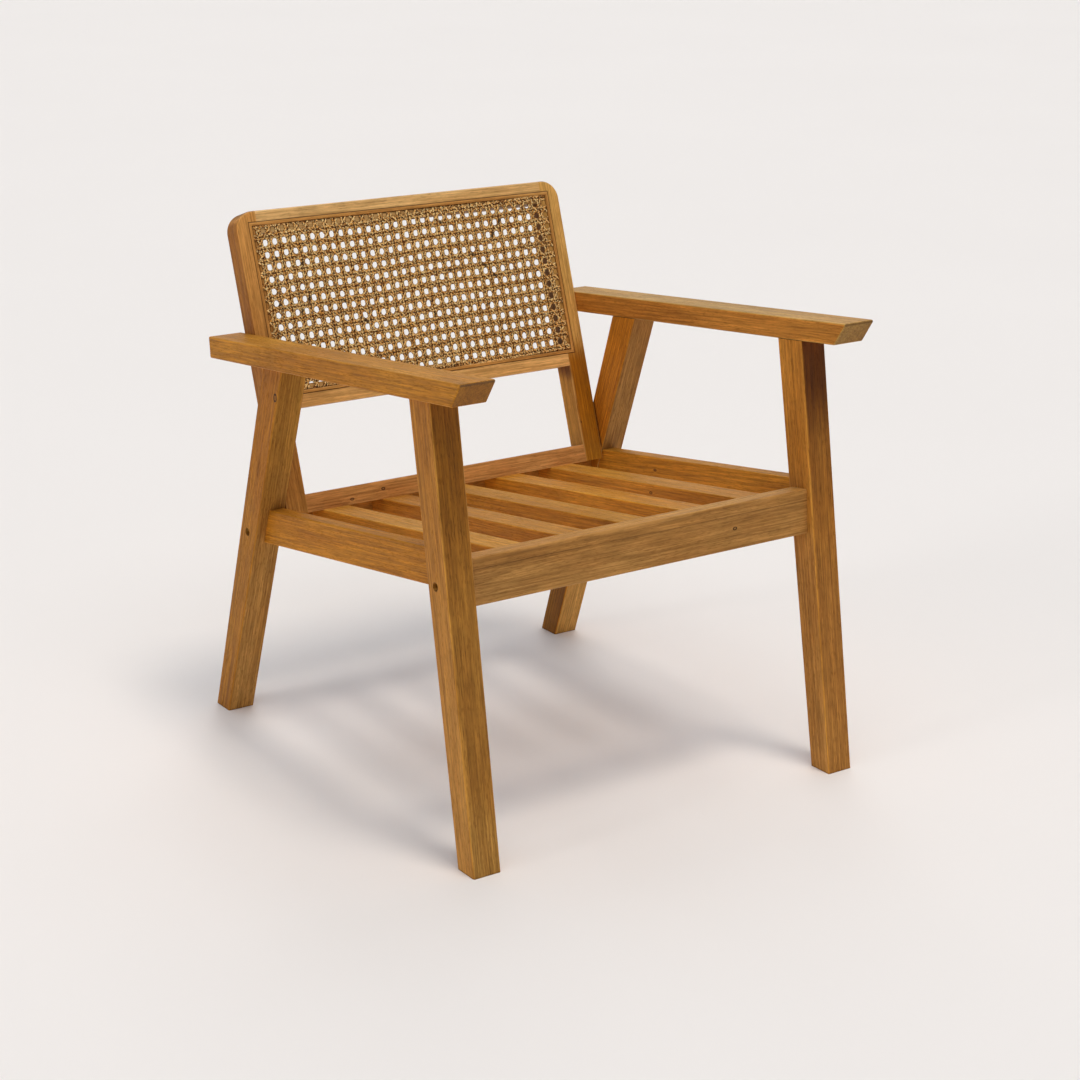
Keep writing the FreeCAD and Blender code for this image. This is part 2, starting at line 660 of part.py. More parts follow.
# dowel holes in the stiles are cut in the standing position
for side_name, side in SIDES:
    name = "%s_back_stile" % side_name
    body = [o for n, o in PARTS if n == name][0]
    rods = []
    for tag, yy, zz, dia, ln in (
        ("stile_a", "stile_dowel_a_back", "stile_dowel_a_up", "stile_dowel_dia", "stile_dowel_len"),
        ("stile_b", "stile_dowel_b_back", "stile_dowel_b_up", "stile_dowel_dia", "stile_dowel_len"),
        ("arm", "arm_dowel_back", "arm_dowel_up", "dowel_dia", "dowel_len"),
    ):
        rod = doc.addObject("Part::Cylinder", "%s_%s_rod" % (side_name, tag))
        rod.setExpression("Radius", "dims.%s / 2" % dia)
        rod.setExpression("Height", "dims.%s" % ln)
        x_lo = (inner - q(ln) / 2) if side > 0 else -(inner + q(ln) / 2)
        rod.Placement = FreeCAD.Placement(FreeCAD.Vector(x_lo.v, back(yy).v, VALUE[zz]), FreeCAD.Rotation(FreeCAD.Vector(0, 1, 0), 90))
        rod.setExpression("Placement.Base.x", x_lo.e)
        rod.setExpression("Placement.Base.y", back(yy).e)
        rod.setExpression("Placement.Base.z", "dims.%s" % zz)
        rods.append(rod)
    cut = doc.addObject("Part::Cut", name + "_bored")
    tools = doc.addObject("Part::MultiFuse", name + "_rods")
    tools.Shapes = rods
    cut.Base = body
    cut.Tool = tools
    doc.recompute()
    body.Label = name + "_body"
    PARTS[:] = [(n, o) for n, o in PARTS if n != name]
    keep(cut, name)

# ---------------------------------------------------------------- cane panel and spline
b = new_body("cane_panel")
poly_pad(b, "cane_panel_sheet", "XY_Plane", 0.0, box_pts(-sp_in, sp_in, sp_low_in, sp_top_in), "cane_thick", reverse=True)
sk = new_sketch(b, "cane_panel_lip_sketch", "XY_Plane", 0.0)
poly(sk, box_pts(-(sp_in + q("cane_lip")), sp_in + q("cane_lip"), sp_low_in - q("cane_lip"), sp_top_in + q("cane_lip")))
poly(sk, box_pts(-sp_in, sp_in, sp_low_in, sp_top_in))
pad(b, sk, "cane_panel_lip", q("groove_deep") - 0.5, reverse=True)
lean(b)
keep(b, "cane_panel")

lip_in = sp_in + q("cane_lip")
lip_top = sp_top_in + q("cane_lip")
lip_low = sp_low_in - q("cane_lip")
SPLINES = (
    ("cane_spline_top", [(-q("spline_half"), q("spline_top")), (-lip_in, lip_top), (lip_in, lip_top), (q("spline_half"), q("spline_top"))]),
    ("cane_spline_bottom", [(-q("spline_half"), q("spline_low")), (q("spline_half"), q("spline_low")), (lip_in, lip_low), (-lip_in, lip_low)]),
    ("cane_spline_left", [(-q("spline_half"), q("spline_low")), (-lip_in, lip_low), (-lip_in, lip_top), (-q("spline_half"), q("spline_top"))]),
    ("cane_spline_right", [(q("spline_half"), q("spline_low")), (q("spline_half"), q("spline_top")), (lip_in, lip_top), (lip_in, lip_low)]),
)
for name, pts in SPLINES:
    b = new_body(name)
    poly_pad(b, name + "_strip", "XY_Plane", 0.4, pts, q("groove_deep") - 0.1, reverse=True)
    soften(b, name + "_round", "spline_round", lambda a, c, e: near(a.z, 0.4, 0.01) and near(c.z, 0.4, 0.01) and e.Length > 150)
    lean(b)
    keep(b, name)

# ---------------------------------------------------------------- fasteners


def group(name, items):
    g = doc.addObject("Part::Compound", name)
    g.Links = items
    keep(g, name)


def turned(name, x_lo, y, z, dia, length, bore=None):
    """A round bar along X, with a hole through it if a bore is given."""
    rod = doc.addObject("Part::Cylinder", name)
    rod.setExpression("Radius", "(%s) / 2" % q(dia).e)
    rod.setExpression("Height", q(length).e)
    rod.Placement = FreeCAD.Placement(FreeCAD.Vector(x_lo.v, y.v, z.v), FreeCAD.Rotation(FreeCAD.Vector(0, 1, 0), 90))
    rod.setExpression("Placement.Base.x", x_lo.e)
    rod.setExpression("Placement.Base.y", y.e)
    rod.setExpression("Placement.Base.z", z.e)
    if bore is None:
        return rod
    hole = turned(name + "_bore", x_lo - 1, y, z, bore, q(length) + 2)
    cut = doc.addObject("Part::Cut", name + "_drilled")
    cut.Base = rod
    cut.Tool = hole
    return cut


BOLTS = [("front", "front_bolt_back", "front_bolt_up"), ("rear", "rear_bolt_back", "rear_bolt_up")]
bolts, washers, nuts, rail_dowels = [], [], [], []
head_seat = bolt_seat + q("washer_thick")
for side_name, side in SIDES:
    for tag, yy, zz in BOLTS:
        y, z = back(yy), q(zz)
        base = "%s_%s" % (side_name, tag)

        def at(x_in, length):
            """Low end along X of something that starts at x_in and runs outwards."""
            return q(x_in) if side > 0 else -(q(x_in) + q(length))

        shank = turned(base + "_bolt_shank", at(head_seat - q("bolt_len"), "bolt_len"), y, z, q("bolt_dia") - 0.1, "bolt_len")
        head = turned(base + "_bolt_head", at(head_seat, "bolt_head_high"), y, z, "bolt_head_dia", "bolt_head_high")
        key = doc.addObject("Part::Prism", base + "_bolt_key")
        key.Polygon = 6
        key.setExpression("Circumradius", "dims.bolt_key / 2 / cos(30 deg)")
        key.setExpression("Height", "dims.bolt_head_high")
        kx = at(head_seat + 2.4, "bolt_head_high")
        key.Placement = FreeCAD.Placement(FreeCAD.Vector(kx.v, y.v, z.v), FreeCAD.Rotation(FreeCAD.Vector(0, 1, 0), 90))
        key.setExpression("Placement.Base.x", kx.e)
        key.setExpression("Placement.Base.y", y.e)
        key.setExpression("Placement.Base.z", z.e)
        whole = doc.addObject("Part::Fuse", base + "_bolt_blank")
        whole.Base = shank
        whole.Tool = head
        bolt = doc.addObject("Part::Cut", base + "_bolt")
        bolt.Base = whole
        bolt.Tool = key
        bolts.append(bolt)
        washers.append(turned(base + "_washer", at(bolt_seat, "washer_thick"), y, z, "washer_dia", "washer_thick", "bolt_dia"))

        # barrel nut: axis along Y, threaded across
        nut = doc.addObject("Part::Cylinder", base + "_nut_bar")
        nut.setExpression("Radius", "dims.nut_dia / 2")
        nut.setExpression("Height", "dims.nut_len")
        ny = y - q("nut_len") / 2
        nx = nut_x * float(side)
        nut.Placement = FreeCAD.Placement(FreeCAD.Vector(nx.v, ny.v + VALUE["nut_len"], z.v), FreeCAD.Rotation(FreeCAD.Vector(1, 0, 0), 90))
        nut.setExpression("Placement.Base.x", nx.e)
        nut.setExpression("Placement.Base.y", (ny + q("nut_len")).e)
        nut.setExpression("Placement.Base.z", z.e)
        hole = turned(base + "_nut_thread", nx - 8, y, z, "bolt_dia", 16.0)
        cut = doc.addObject("Part::Cut", base + "_nut")
        cut.Base = nut
        cut.Tool = hole
        nuts.append(cut)

        dy = back("%s_dowel_back" % tag)
        dz = q("%s_dowel_up" % tag)
        rail_dowels.append(turned(base + "_dowel", at(inner - q("dowel_len") / 2, "dowel_len"), dy, dz, "dowel_dia", "dowel_len"))

group("frame_bolts", bolts)
group("bolt_washers", washers)
group("barrel_nuts", nuts)
group("rail_dowels", rail_dowels)

stile_dowels, arm_dowels = [], []
for side_name, side in SIDES:
    for k in ("a", "b"):
        ln = q("stile_dowel_len")
        x_lo = (inner - ln / 2) if side > 0 else -(inner + ln / 2)
        stile_dowels.append(turned("%s_stile_dowel_%s" % (side_name, k), x_lo, back("stile_dowel_%s_back" % k), q("stile_dowel_%s_up" % k), "stile_dowel_dia", ln))
    ln = q("dowel_len")
    x_lo = (inner - ln / 2) if side > 0 else -(inner + ln / 2)
    arm_dowels.append(turned("%s_arm_dowel" % side_name, x_lo, back("arm_dowel_back"), q("arm_dowel_up"), "dowel_dia", ln))
group("stile_dowels", stile_dowels)
group("arm_dowels", arm_dowels)

# ---------------------------------------------------------------- test and write
doc.recompute()
bad = []
for o in doc.Objects:
    if "Invalid" in o.State or "Error" in o.State:
        bad.append("%s %s" % (o.Name, o.State))
for name, o in PARTS:
    s = o.Shape
    if s.isNull() or not s.isValid():
        bad.append("%s has no valid shape" % name)
if bad:
    raise RuntimeError("; ".join(bad))

whole = FreeCAD.BoundBox()
for name, o in sorted(PARTS, key=lambda t: t[0]):
    o.Shape.exportStep("parts/%s.step" % name)
    whole.add(o.Shape.optimalBoundingBox(False) if hasattr(o.Shape, "optimalBoundingBox") else o.Shape.BoundBox)
    print("%-22s solids %d  volume %.1f cm3" % (name, len(o.Shape.Solids), o.Shape.Volume / 1000.0))
print("pieces %d" % len(PARTS))
print("box x %.2f..%.2f  y %.2f..%.2f  z %.2f..%.2f" % (whole.XMin, whole.XMax, whole.YMin, whole.YMax, whole.ZMin, whole.ZMax))
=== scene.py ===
import bpy
import math
import numpy as np
from mathutils import Matrix, Vector


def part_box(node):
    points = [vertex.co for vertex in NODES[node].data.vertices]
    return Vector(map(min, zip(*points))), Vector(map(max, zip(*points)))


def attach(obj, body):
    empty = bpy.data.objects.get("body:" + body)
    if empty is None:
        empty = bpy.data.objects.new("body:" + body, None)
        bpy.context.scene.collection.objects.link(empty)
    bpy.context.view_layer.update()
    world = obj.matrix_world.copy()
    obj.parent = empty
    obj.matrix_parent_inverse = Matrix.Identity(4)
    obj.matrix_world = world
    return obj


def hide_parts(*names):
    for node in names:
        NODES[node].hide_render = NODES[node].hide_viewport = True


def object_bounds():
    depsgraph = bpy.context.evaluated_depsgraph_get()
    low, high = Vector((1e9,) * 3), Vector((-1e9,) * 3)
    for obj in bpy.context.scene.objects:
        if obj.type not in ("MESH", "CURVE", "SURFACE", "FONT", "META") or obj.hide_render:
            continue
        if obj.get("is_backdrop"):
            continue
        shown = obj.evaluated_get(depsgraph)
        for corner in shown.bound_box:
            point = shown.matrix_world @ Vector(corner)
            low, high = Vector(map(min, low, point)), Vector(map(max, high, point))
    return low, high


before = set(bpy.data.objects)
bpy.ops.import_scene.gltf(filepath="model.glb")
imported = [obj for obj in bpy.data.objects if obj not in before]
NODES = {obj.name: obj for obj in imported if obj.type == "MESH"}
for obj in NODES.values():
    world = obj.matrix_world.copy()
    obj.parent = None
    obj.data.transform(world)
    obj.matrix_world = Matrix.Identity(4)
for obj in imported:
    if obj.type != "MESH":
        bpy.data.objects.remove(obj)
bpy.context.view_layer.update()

MM = 0.001
MID = 362.17                      # front toe line to the middle of the depth, mm
ARM_SLOPE = math.radians(6.064)
SEAT_SLOPE = math.radians(8.363)
RECLINE = math.radians(18.35)


# ---------------------------------------------------------------- places on the chair, in metres
def arm_point(x, along, down):
    """A point of an armrest: along its top from the front tip, and down from the top face, in mm."""
    y = 12.3 + along * math.cos(ARM_SLOPE) - down * math.sin(ARM_SLOPE) - MID
    z = 650.7 - along * math.sin(ARM_SLOPE) - down * math.cos(ARM_SLOPE)
    return Vector((x * MM, y * MM, z * MM))


def seat_point(x, run, over):
    """A point of the seat: run behind the front rail along the slats, over above their top faces, in mm."""
    y = 105.0 + run * math.cos(SEAT_SLOPE) + over * math.sin(SEAT_SLOPE) - MID
    z = 400.5 - run * math.sin(SEAT_SLOPE) + over * math.cos(SEAT_SLOPE)
    return Vector((x * MM, y * MM, z * MM))


BACK_UP = Vector((0.0, math.sin(RECLINE), math.cos(RECLINE)))
BACK_OUT = Vector((0.0, -math.cos(RECLINE), math.sin(RECLINE)))      # out of the front face of the back
BACK_ZERO = Vector((0.0, (542.2 - MID) * MM, 300.0 * MM))


def back_point(x, s, w=0.0):
    """A point of the back frame: x across, s up its front face, w in front of that face, in mm."""
    return BACK_ZERO + Vector((x * MM, 0, 0)) + BACK_UP * (s * MM) + BACK_OUT * (w * MM)


# ---------------------------------------------------------------- small helpers for node trees
class Tree:
    def __init__(self, name):
        self.mat = bpy.data.materials.new(name)
        self.mat.use_nodes = True
        self.nt = self.mat.node_tree
        self.nt.nodes.clear()
        self.out = self.nt.nodes.new("ShaderNodeOutputMaterial")
        self.bsdf = self.nt.nodes.new("ShaderNodeBsdfPrincipled")
        self.nt.links.new(self.bsdf.outputs["BSDF"], self.out.inputs["Surface"])

    def new(self, kind, **props):
        n = self.nt.nodes.new(kind)
        for k, v in props.items():
            setattr(n, k, v)
        return n

    def put(self, socket, v):
        if isinstance(v, bpy.types.NodeSocket):
            self.nt.links.new(v, socket)
        elif v is not None:
            socket.default_value = v

    def math(self, op, a, b=None, c=None, clamp=False):
        n = self.new("ShaderNodeMath", operation=op, use_clamp=clamp)
        for i, v in enumerate((a, b, c)):
            self.put(n.inputs[i], v)
        return n.outputs[0]

    def vmath(self, op, a, b=None, out=0):
        n = self.new("ShaderNodeVectorMath", operation=op)
        self.put(n.inputs[0], a)
        if b is not None:
            self.put(n.inputs[3] if op == "SCALE" else n.inputs[1], b)
        return n.outputs["Value"] if op in ("LENGTH", "DOT_PRODUCT", "DISTANCE") else n.outputs["Vector"]

    def split(self, v):
        n = self.new("ShaderNodeSeparateXYZ")
        self.put(n.inputs[0], v)
        return n.outputs[0], n.outputs[1], n.outputs[2]

    def join(self, x, y, z):
        n = self.new("ShaderNodeCombineXYZ")
        for i, v in enumerate((x, y, z)):
            self.put(n.inputs[i], v)
        return n.outputs[0]

    def noise(self, vec, detail=2.0, rough=0.5, scale=1.0, colour=False, distortion=0.0):
        n = self.new("ShaderNodeTexNoise", noise_dimensions="3D")
        self.put(n.inputs["Vector"], vec)
        n.inputs["Scale"].default_value = scale
        n.inputs["Detail"].default_value = detail
        n.inputs["Roughness"].default_value = rough
        n.inputs["Distortion"].default_value = distortion
        return n.outputs["Color" if colour else "Fac"]

    def span(self, x, lo, hi, to_lo=0.0, to_hi=1.0, smooth=True):
        n = self.new("ShaderNodeMapRange", interpolation_type="SMOOTHSTEP" if smooth else "LINEAR")
        self.put(n.inputs["Value"], x)
        n.inputs["From Min"].default_value = lo
        n.inputs["From Max"].default_value = hi
        n.inputs["To Min"].default_value = to_lo
        n.inputs["To Max"].default_value = to_hi
        return n.outputs["Result"]

    def mix(self, fac, a, b, blend="MIX"):
        n = self.new("ShaderNodeMix", data_type="RGBA", blend_type=blend)
        self.put(n.inputs["Factor"], fac)
        for s, v in zip([s for s in n.inputs if s.name in ("A", "B") and s.type == "RGBA"], (a, b)):
            self.put(s, v if isinstance(v, bpy.types.NodeSocket) else (v[0], v[1], v[2], 1.0))
        return [s for s in n.outputs if s.type == "RGBA"][0]

    def ramp(self, fac, stops, kind="LINEAR"):
        n = self.new("ShaderNodeValToRGB")
        n.color_ramp.interpolation = kind
        e = n.color_ramp.elements
        while len(e) < len(stops):
            e.new(0.5)
        for el, (p, v) in zip(e, stops):
            el.position = p
            el.color = (v, v, v, 1.0) if not isinstance(v, (tuple, list)) else (*v, 1.0)
        self.put(n.inputs[0], fac)
        return n.outputs[0]

    def bump(self, height, distance, strength=1.0):
        n = self.new("ShaderNodeBump")
        n.inputs["Strength"].default_value = strength
        n.inputs["Distance"].default_value = distance
        self.put(n.inputs["Height"], height)
        return n.outputs[0]


def spin(axis, face):
    """The turn whose local X is axis and whose local Z is as near to face as it can be."""
    x = Vector(axis).normalized()
    z = Vector(face)
    z = (z - x * z.dot(x)).normalized()
    y = z.cross(x)
    return Matrix((x, y, z)).transposed()


# ---------------------------------------------------------------- wood
# Colours are scene linear.
PALE = (0.460, 0.205, 0.042)
GOLD = (0.372, 0.148, 0.025)
DEEP = (0.200, 0.070, 0.010)
PORE = (0.105, 0.034, 0.005)
KNOT = (0.024, 0.009, 0.003)


def wood(name, origin, axis, face, half, pith=(0.06, 0.11), lean=(0.0, 0.0), spacing=0.0032, wave=0.0022,
         contrast=0.5, tint=(1.0, 1.0, 1.0), seed=0.0, knots=(), streaks=(), joints=(), wear_and_highlight=1.0, pores=1.0, recess=False, painted_rim_shade=None,
         shade=(), ends=(1.0, 1.0, 1.0)):
    """Oiled hardwood cut from a log.

    origin, axis and face set the board's own frame: x along the grain, z out of the face that shows most.
    half: half width and half thickness, each with its growth per metre of length.
    pith: where the heart of the log runs, seen from the board's middle; lean: its slope along the board.
    knots: (x, y, z, side, radius, push) with side "y" or "z", the way the branch points, or "xz"-like lists in board
    mm.
    streaks: (y, z, width, strength, waviness) darker lines along the board.
    rim: (half width, reach, strength) of a painted shade that darkens both long sides.
    joints: (point, normal, reach, strength, out), planes along which a painted shade darkens the faces that look out.
    shade: (out, level, level, colour, colour), painted light and shade: how a face is darkened or lightened between two
    places up the chair, standing in for the shadows, bounce light and sheen that fall on it.
    ends: how much lighter or darker the end grain is.
    """
    t = Tree(name)
    turn = spin(axis, face)
    coords = t.new("ShaderNodeTexCoord")
    m = t.new("ShaderNodeMapping", vector_type="TEXTURE")
    t.put(m.inputs["Vector"], coords.outputs["Object"])
    m.inputs["Location"].default_value = tuple(origin)
    m.inputs["Rotation"].default_value = tuple(turn.to_euler("XYZ"))
    p = m.outputs[0]
    x, y, z = t.split(p)
    rng = np.random.default_rng(int(seed * 977) + 11)
    shift = [float(v) for v in rng.uniform(-7, 7, 3)]
    ps = t.vmath("ADD", p, tuple(shift))

    # slow bends of the rings, then small ones
    bend = t.noise(t.vmath("MULTIPLY", ps, (2.3, 15.0, 15.0)), detail=2.0, colour=True)
    b1x, b1y, b1z = t.split(t.vmath("SUBTRACT", bend, (0.5, 0.5, 0.5)))
    fine = t.noise(t.vmath("MULTIPLY", ps, (11.0, 75.0, 75.0)), detail=2.0, colour=True)
    b2x, b2y, b2z = t.split(t.vmath("SUBTRACT", fine, (0.5, 0.5, 0.5)))
    yy = t.math("MULTIPLY_ADD", b1x, wave * 4.0, y)
    yy = t.math("MULTIPLY_ADD", b2x, wave * 0.55, yy)
    yy = t.math("MULTIPLY_ADD", x, -lean[0], yy)
    zz = t.math("MULTIPLY_ADD", b1y, wave * 4.0, z)
    zz = t.math("MULTIPLY_ADD", b2y, wave * 0.55, zz)
    zz = t.math("MULTIPLY_ADD", x, -lean[1], zz)
    yy = t.math("SUBTRACT", yy, pith[0])
    zz = t.math("SUBTRACT", zz, pith[1])
    r = t.math("SQRT", t.math("ADD", t.math("MULTIPLY", yy, yy), t.math("MULTIPLY", zz, zz)))

    knot_core = None
    for kx, ky, kz, side, rad, push in knots:
        flat = (1 / 1.55, 1.0, 0.0) if side.endswith("z") else (1 / 1.55, 0.0, 1.0)
        off = t.vmath("MULTIPLY", t.vmath("SUBTRACT", p, (kx * MM, ky * MM, kz * MM)), flat)
        d = t.vmath("LENGTH", off)
        # only near the face that the branch reaches
        deep = t.math("SUBTRACT", (z if side.endswith("z") else y), (kz if side.endswith("z") else ky) * MM)
        near = t.span(t.math("ABSOLUTE", deep), 0.006, 0.016, 1.0, 0.0)
        swell = t.math("MULTIPLY", t.span(d, 0.0, rad * MM * 5.0, 1.0, 0.0), near)
        r = t.math("MULTIPLY_ADD", t.math("POWER", swell, 1.6), push * MM, r)
        wob = t.math("MULTIPLY_ADD", b2z, 0.0024, d)
        core = t.math("MULTIPLY", t.span(wob, rad * MM * 0.90, rad * MM * 1.22, 1.0, 0.0), near)
        rings = t.span(t.math("COSINE", t.math("MULTIPLY", wob, 2 * math.pi / (rad * MM * 0.80))), -0.5, 0.6, 0.30, 1.0)
        one = t.math("MULTIPLY", core, rings)
        knot_core = one if knot_core is None else t.math("MAXIMUM", knot_core, one)

    # growth rings: slow rise to the dark latewood, quick fall
    vary = t.noise(t.vmath("MULTIPLY", ps, (1.1, 9.0, 9.0)), detail=1.0)
    phase = t.math("MULTIPLY_ADD", vary, 2.2, t.math("MULTIPLY", r, 1.0 / spacing))
    ring = t.ramp(t.math("FRACT", phase), [(0.0, 0.10), (0.45, 0.22), (0.80, 0.78), (0.90, 1.0), (0.965, 0.72), (1.0, 0.10)], "EASE")
    # every few rings one is darker
    band = t.noise(t.join(t.math("MULTIPLY", x, 1.3), t.math("MULTIPLY", r, 95.0), 3.1 + seed), detail=1.0)
    strong = t.span(band, 0.34, 0.72, 0.25, 1.25)
    ring = t.math("MULTIPLY", ring, strong)

    # broad tone, long fibres, fine fibres and open pores
    cloud = t.noise(t.vmath("MULTIPLY", ps, (3.2, 20.0, 20.0)), detail=3.0, rough=0.55)
    fibre = t.noise(t.vmath("MULTIPLY", ps, (8.0, 290.0, 290.0)), detail=3.0, rough=0.62)
    hair = t.noise(t.vmath("MULTIPLY", ps, (26.0, 780.0, 780.0)), detail=2.0, rough=0.6)
    vessel = t.noise(t.vmath("MULTIPLY", ps, (30.0, 760.0, 760.0)), detail=1.0, rough=0.4)
    open_pore = t.span(vessel, 0.58, 0.70)
    dash = t.span(t.noise(t.vmath("MULTIPLY", ps, (105.0, 600.0, 600.0)), detail=1.0, rough=0.45), 0.555, 0.650)
    crowd = t.noise(t.vmath("MULTIPLY", ps, (5.0, 60.0, 60.0)), detail=1.0)
    open_pore = t.math("MULTIPLY", open_pore, t.span(crowd, 0.35, 0.65, 0.35, 1.0))
    dash = t.math("MULTIPLY", dash, t.span(crowd, 0.25, 0.60, 0.55, 1.0))

    tone = lambda c: tuple(a * b for a, b in zip(c, tint))
    col = t.mix(t.span(cloud, 0.30, 0.70), tone(GOLD), tone(PALE))
    col = t.mix(t.math("MULTIPLY", ring, contrast, clamp=True), col, tone(DEEP))
    col = t.mix(1.0, col, t.ramp(fibre, [(0.25, (0.63, 0.58, 0.50)), (0.5, (1.038, 1.038, 1.038)), (0.75, (1.40, 1.44, 1.51))]), "MULTIPLY")
    col = t.mix(t.span(hair, 0.38, 0.68, 0.0, 0.40), col, tone(DEEP))
    mottle = t.noise(t.vmath("MULTIPLY", ps, (34.0, 90.0, 90.0)), detail=2.0)
    col = t.mix(1.0, col, t.ramp(mottle, [(0.30, (0.905, 0.915, 0.90)), (0.5, (1.0, 1.0, 1.0)), (0.70, (1.09, 1.08, 1.10))]), "MULTIPLY")
    for sy, sz, width, strength, wob in streaks:
        # a darker line that wanders along the face at y = sy or z = sz
        if sz is None:
            at = t.math("SUBTRACT", t.math("MULTIPLY_ADD", b1x, wob * MM * 4.0, y), sy * MM)
        else:
            at = t.math("SUBTRACT", t.math("MULTIPLY_ADD", b1y, wob * MM * 4.0, z), sz * MM)
        at = t.math("MULTIPLY_ADD", b2x, wob * MM * 0.7, at)
        line = t.span(t.math("ABSOLUTE", at), width * MM * 0.15, width * MM, 1.0, 0.0)
        broken = t.span(t.noise(t.vmath("MULTIPLY", ps, (9.0, 40.0, 40.0)), detail=2.0), 0.30, 0.62, 0.25, 1.0)
        col = t.mix(t.math("MULTIPLY", t.math("MULTIPLY", line, broken), strength), col, tone(PORE))
    col = t.mix(t.math("MULTIPLY", dash, 0.36 * pores), col, tone(PORE))
    col = t.mix(t.math("MULTIPLY", open_pore, 0.50 * pores), col, tone(PORE))
    open_pore = t.math("MAXIMUM", open_pore, dash)
    if knot_core is not None:
        col = t.mix(t.math("MULTIPLY", knot_core, 0.95), col, KNOT)

    # the end grain drinks more oil
    geo = t.new("ShaderNodeNewGeometry")
    world_axis = Vector(axis).normalized()
    end = t.math("ABSOLUTE", t.vmath("DOT_PRODUCT", geo.outputs["Normal"], tuple(world_axis)))
    end = t.span(end, 0.55, 0.95)
    col = t.mix(t.math("MULTIPLY", end, 0.74), col, tuple(a * b for a, b in zip((0.150, 0.064, 0.018), ends)))

    # painted sheen: faces that look up are painted paler and bluer, the others warmer and more saturated
    _, _, normal_z = t.split(geo.outputs["Normal"])
    col = t.mix(1.0, col, t.mix(t.span(normal_z, 0.50, 0.95), (1.0, 0.975, 0.87), (1.02, 1.072, 1.22)), "MULTIPLY")
    # painted light and shade on the faces that look the given way, varying with height
    for out, lo, hi, low_colour, high_colour in shade:
        _, _, up = t.split(coords.outputs["Object"])
        facing = t.span(t.vmath("DOT_PRODUCT", geo.outputs["Normal"], tuple(Vector(out).normalized())), 0.75, 0.95)
        keep = t.mix(t.span(up, lo, hi), low_colour, high_colour)
        col = t.mix(1.0, col, t.mix(facing, (1.0, 1.0, 1.0), keep), "MULTIPLY")

    # worn and lighter in patches along the long edges, and a painted highlight on their rounded arrises
    (hy, gy), (hz, gz) = half
    ay = t.math("DIVIDE", t.math("ABSOLUTE", y), t.math("MULTIPLY_ADD", x, gy, hy))
    az = t.math("DIVIDE", t.math("ABSOLUTE", z), t.math("MULTIPLY_ADD", x, gz, hz))
    edge = t.math("MULTIPLY", t.span(ay, 0.80, 1.0), t.span(az, 0.80, 1.0))
    rub_and_highlight = t.math("MULTIPLY", edge, t.span(t.noise(t.vmath("MULTIPLY", ps, (14.0, 30.0, 30.0)), detail=3.0), 0.36, 0.66))
    col = t.mix(t.math("MULTIPLY", rub_and_highlight, 0.34 * wear_and_highlight), col, tone(tuple(min(1.0, 1.25 * v) for v in PALE)))

    # painted shade, gathered from the long sides, the joints and the edge of the groove round the webbing
    painted_shade = None
    # painted shade along both long sides
    if painted_rim_shade:
        painted_shade = t.span(t.math("SUBTRACT", painted_rim_shade[0] * MM, t.math("ABSOLUTE", y)), 0.0, painted_rim_shade[1] * MM, painted_rim_shade[2], 0.0)
    # painted shade along the planes where parts meet
    for point, normal, reach, strength, out in joints:
        n = Vector(normal).normalized()
        d = t.math("ABSOLUTE", t.math("SUBTRACT", t.vmath("DOT_PRODUCT", coords.outputs["Object"], tuple(n)), float(Vector(point).dot(n))))
        one = t.span(d, reach * MM * 0.2, reach * MM, strength, 0.0)
        if out is not None:
            one = t.math("MULTIPLY", one, t.span(t.vmath("DOT_PRODUCT", geo.outputs["Normal"], tuple(Vector(out).normalized())), 0.75, 0.95))
        painted_shade = one if painted_shade is None else t.math("MAXIMUM", painted_shade, one)
    if recess:
        # painted shade on the ledge under the webbing and on the sides of the opening, where its strands shade them
        rel = t.vmath("SUBTRACT", coords.outputs["Object"], tuple(BACK_ZERO))
        depth = t.vmath("DOT_PRODUCT", rel, tuple(BACK_OUT))
        rise = t.vmath("DOT_PRODUCT", rel, tuple(BACK_UP))
        px, _, _ = t.split(coords.outputs["Object"])
        away = t.math("MAXIMUM", t.math("SUBTRACT", t.math("ABSOLUTE", px), 0.2600),
                      t.math("SUBTRACT", t.math("ABSOLUTE", t.math("SUBTRACT", rise, 0.3329)), 0.1265))
        below = t.ramp(t.math("DIVIDE", depth, -0.035, clamp=True), [(0.03, 0.0), (0.045, 0.30), (0.11, 0.34), (0.16, 0.82), (0.95, 0.30)])
        one = t.math("MULTIPLY", below, t.span(away, -0.0004, 0.0, 1.0, 0.0))
        # painted shadow in a thin line round the edge of the groove
        groove_shadow = t.math("MULTIPLY", t.span(t.math("ABSOLUTE", away), 0.0001, 0.0010, 0.85, 0.0), t.span(depth, -0.006, -0.004))
        col = t.mix(one, col, (0.110, 0.042, 0.008))
        painted_shade = groove_shadow if painted_shade is None else t.math("MAXIMUM", painted_shade, groove_shadow)
    # the painted shade is laid on as a dark brown
    if painted_shade is not None:
        col = t.mix(painted_shade, col, tuple(0.35 * v for v in PORE))

    rough = t.math("MULTIPLY_ADD", t.math("SUBTRACT", fibre, 0.5), 0.22, 0.52)
    rough = t.math("MULTIPLY_ADD", open_pore, 0.16, rough)
    rough = t.math("MULTIPLY_ADD", end, 0.14, rough)
    rough = t.math("MULTIPLY_ADD", rub_and_highlight, -0.10, rough, clamp=True)
    height = t.math("MULTIPLY_ADD", open_pore, -0.9, t.math("MULTIPLY", fibre, 0.7))
    height = t.math("MULTIPLY_ADD", ring, -0.25, height)
    b = t.bsdf
    t.put(b.inputs["Base Color"], col)
    t.put(b.inputs["Roughness"], rough)
    t.put(b.inputs["Normal"], t.bump(height, 0.00022, 0.55))
    b.inputs["IOR"].default_value = 1.46
    b.inputs["Specular IOR Level"].default_value = 0.16
    return t.mat


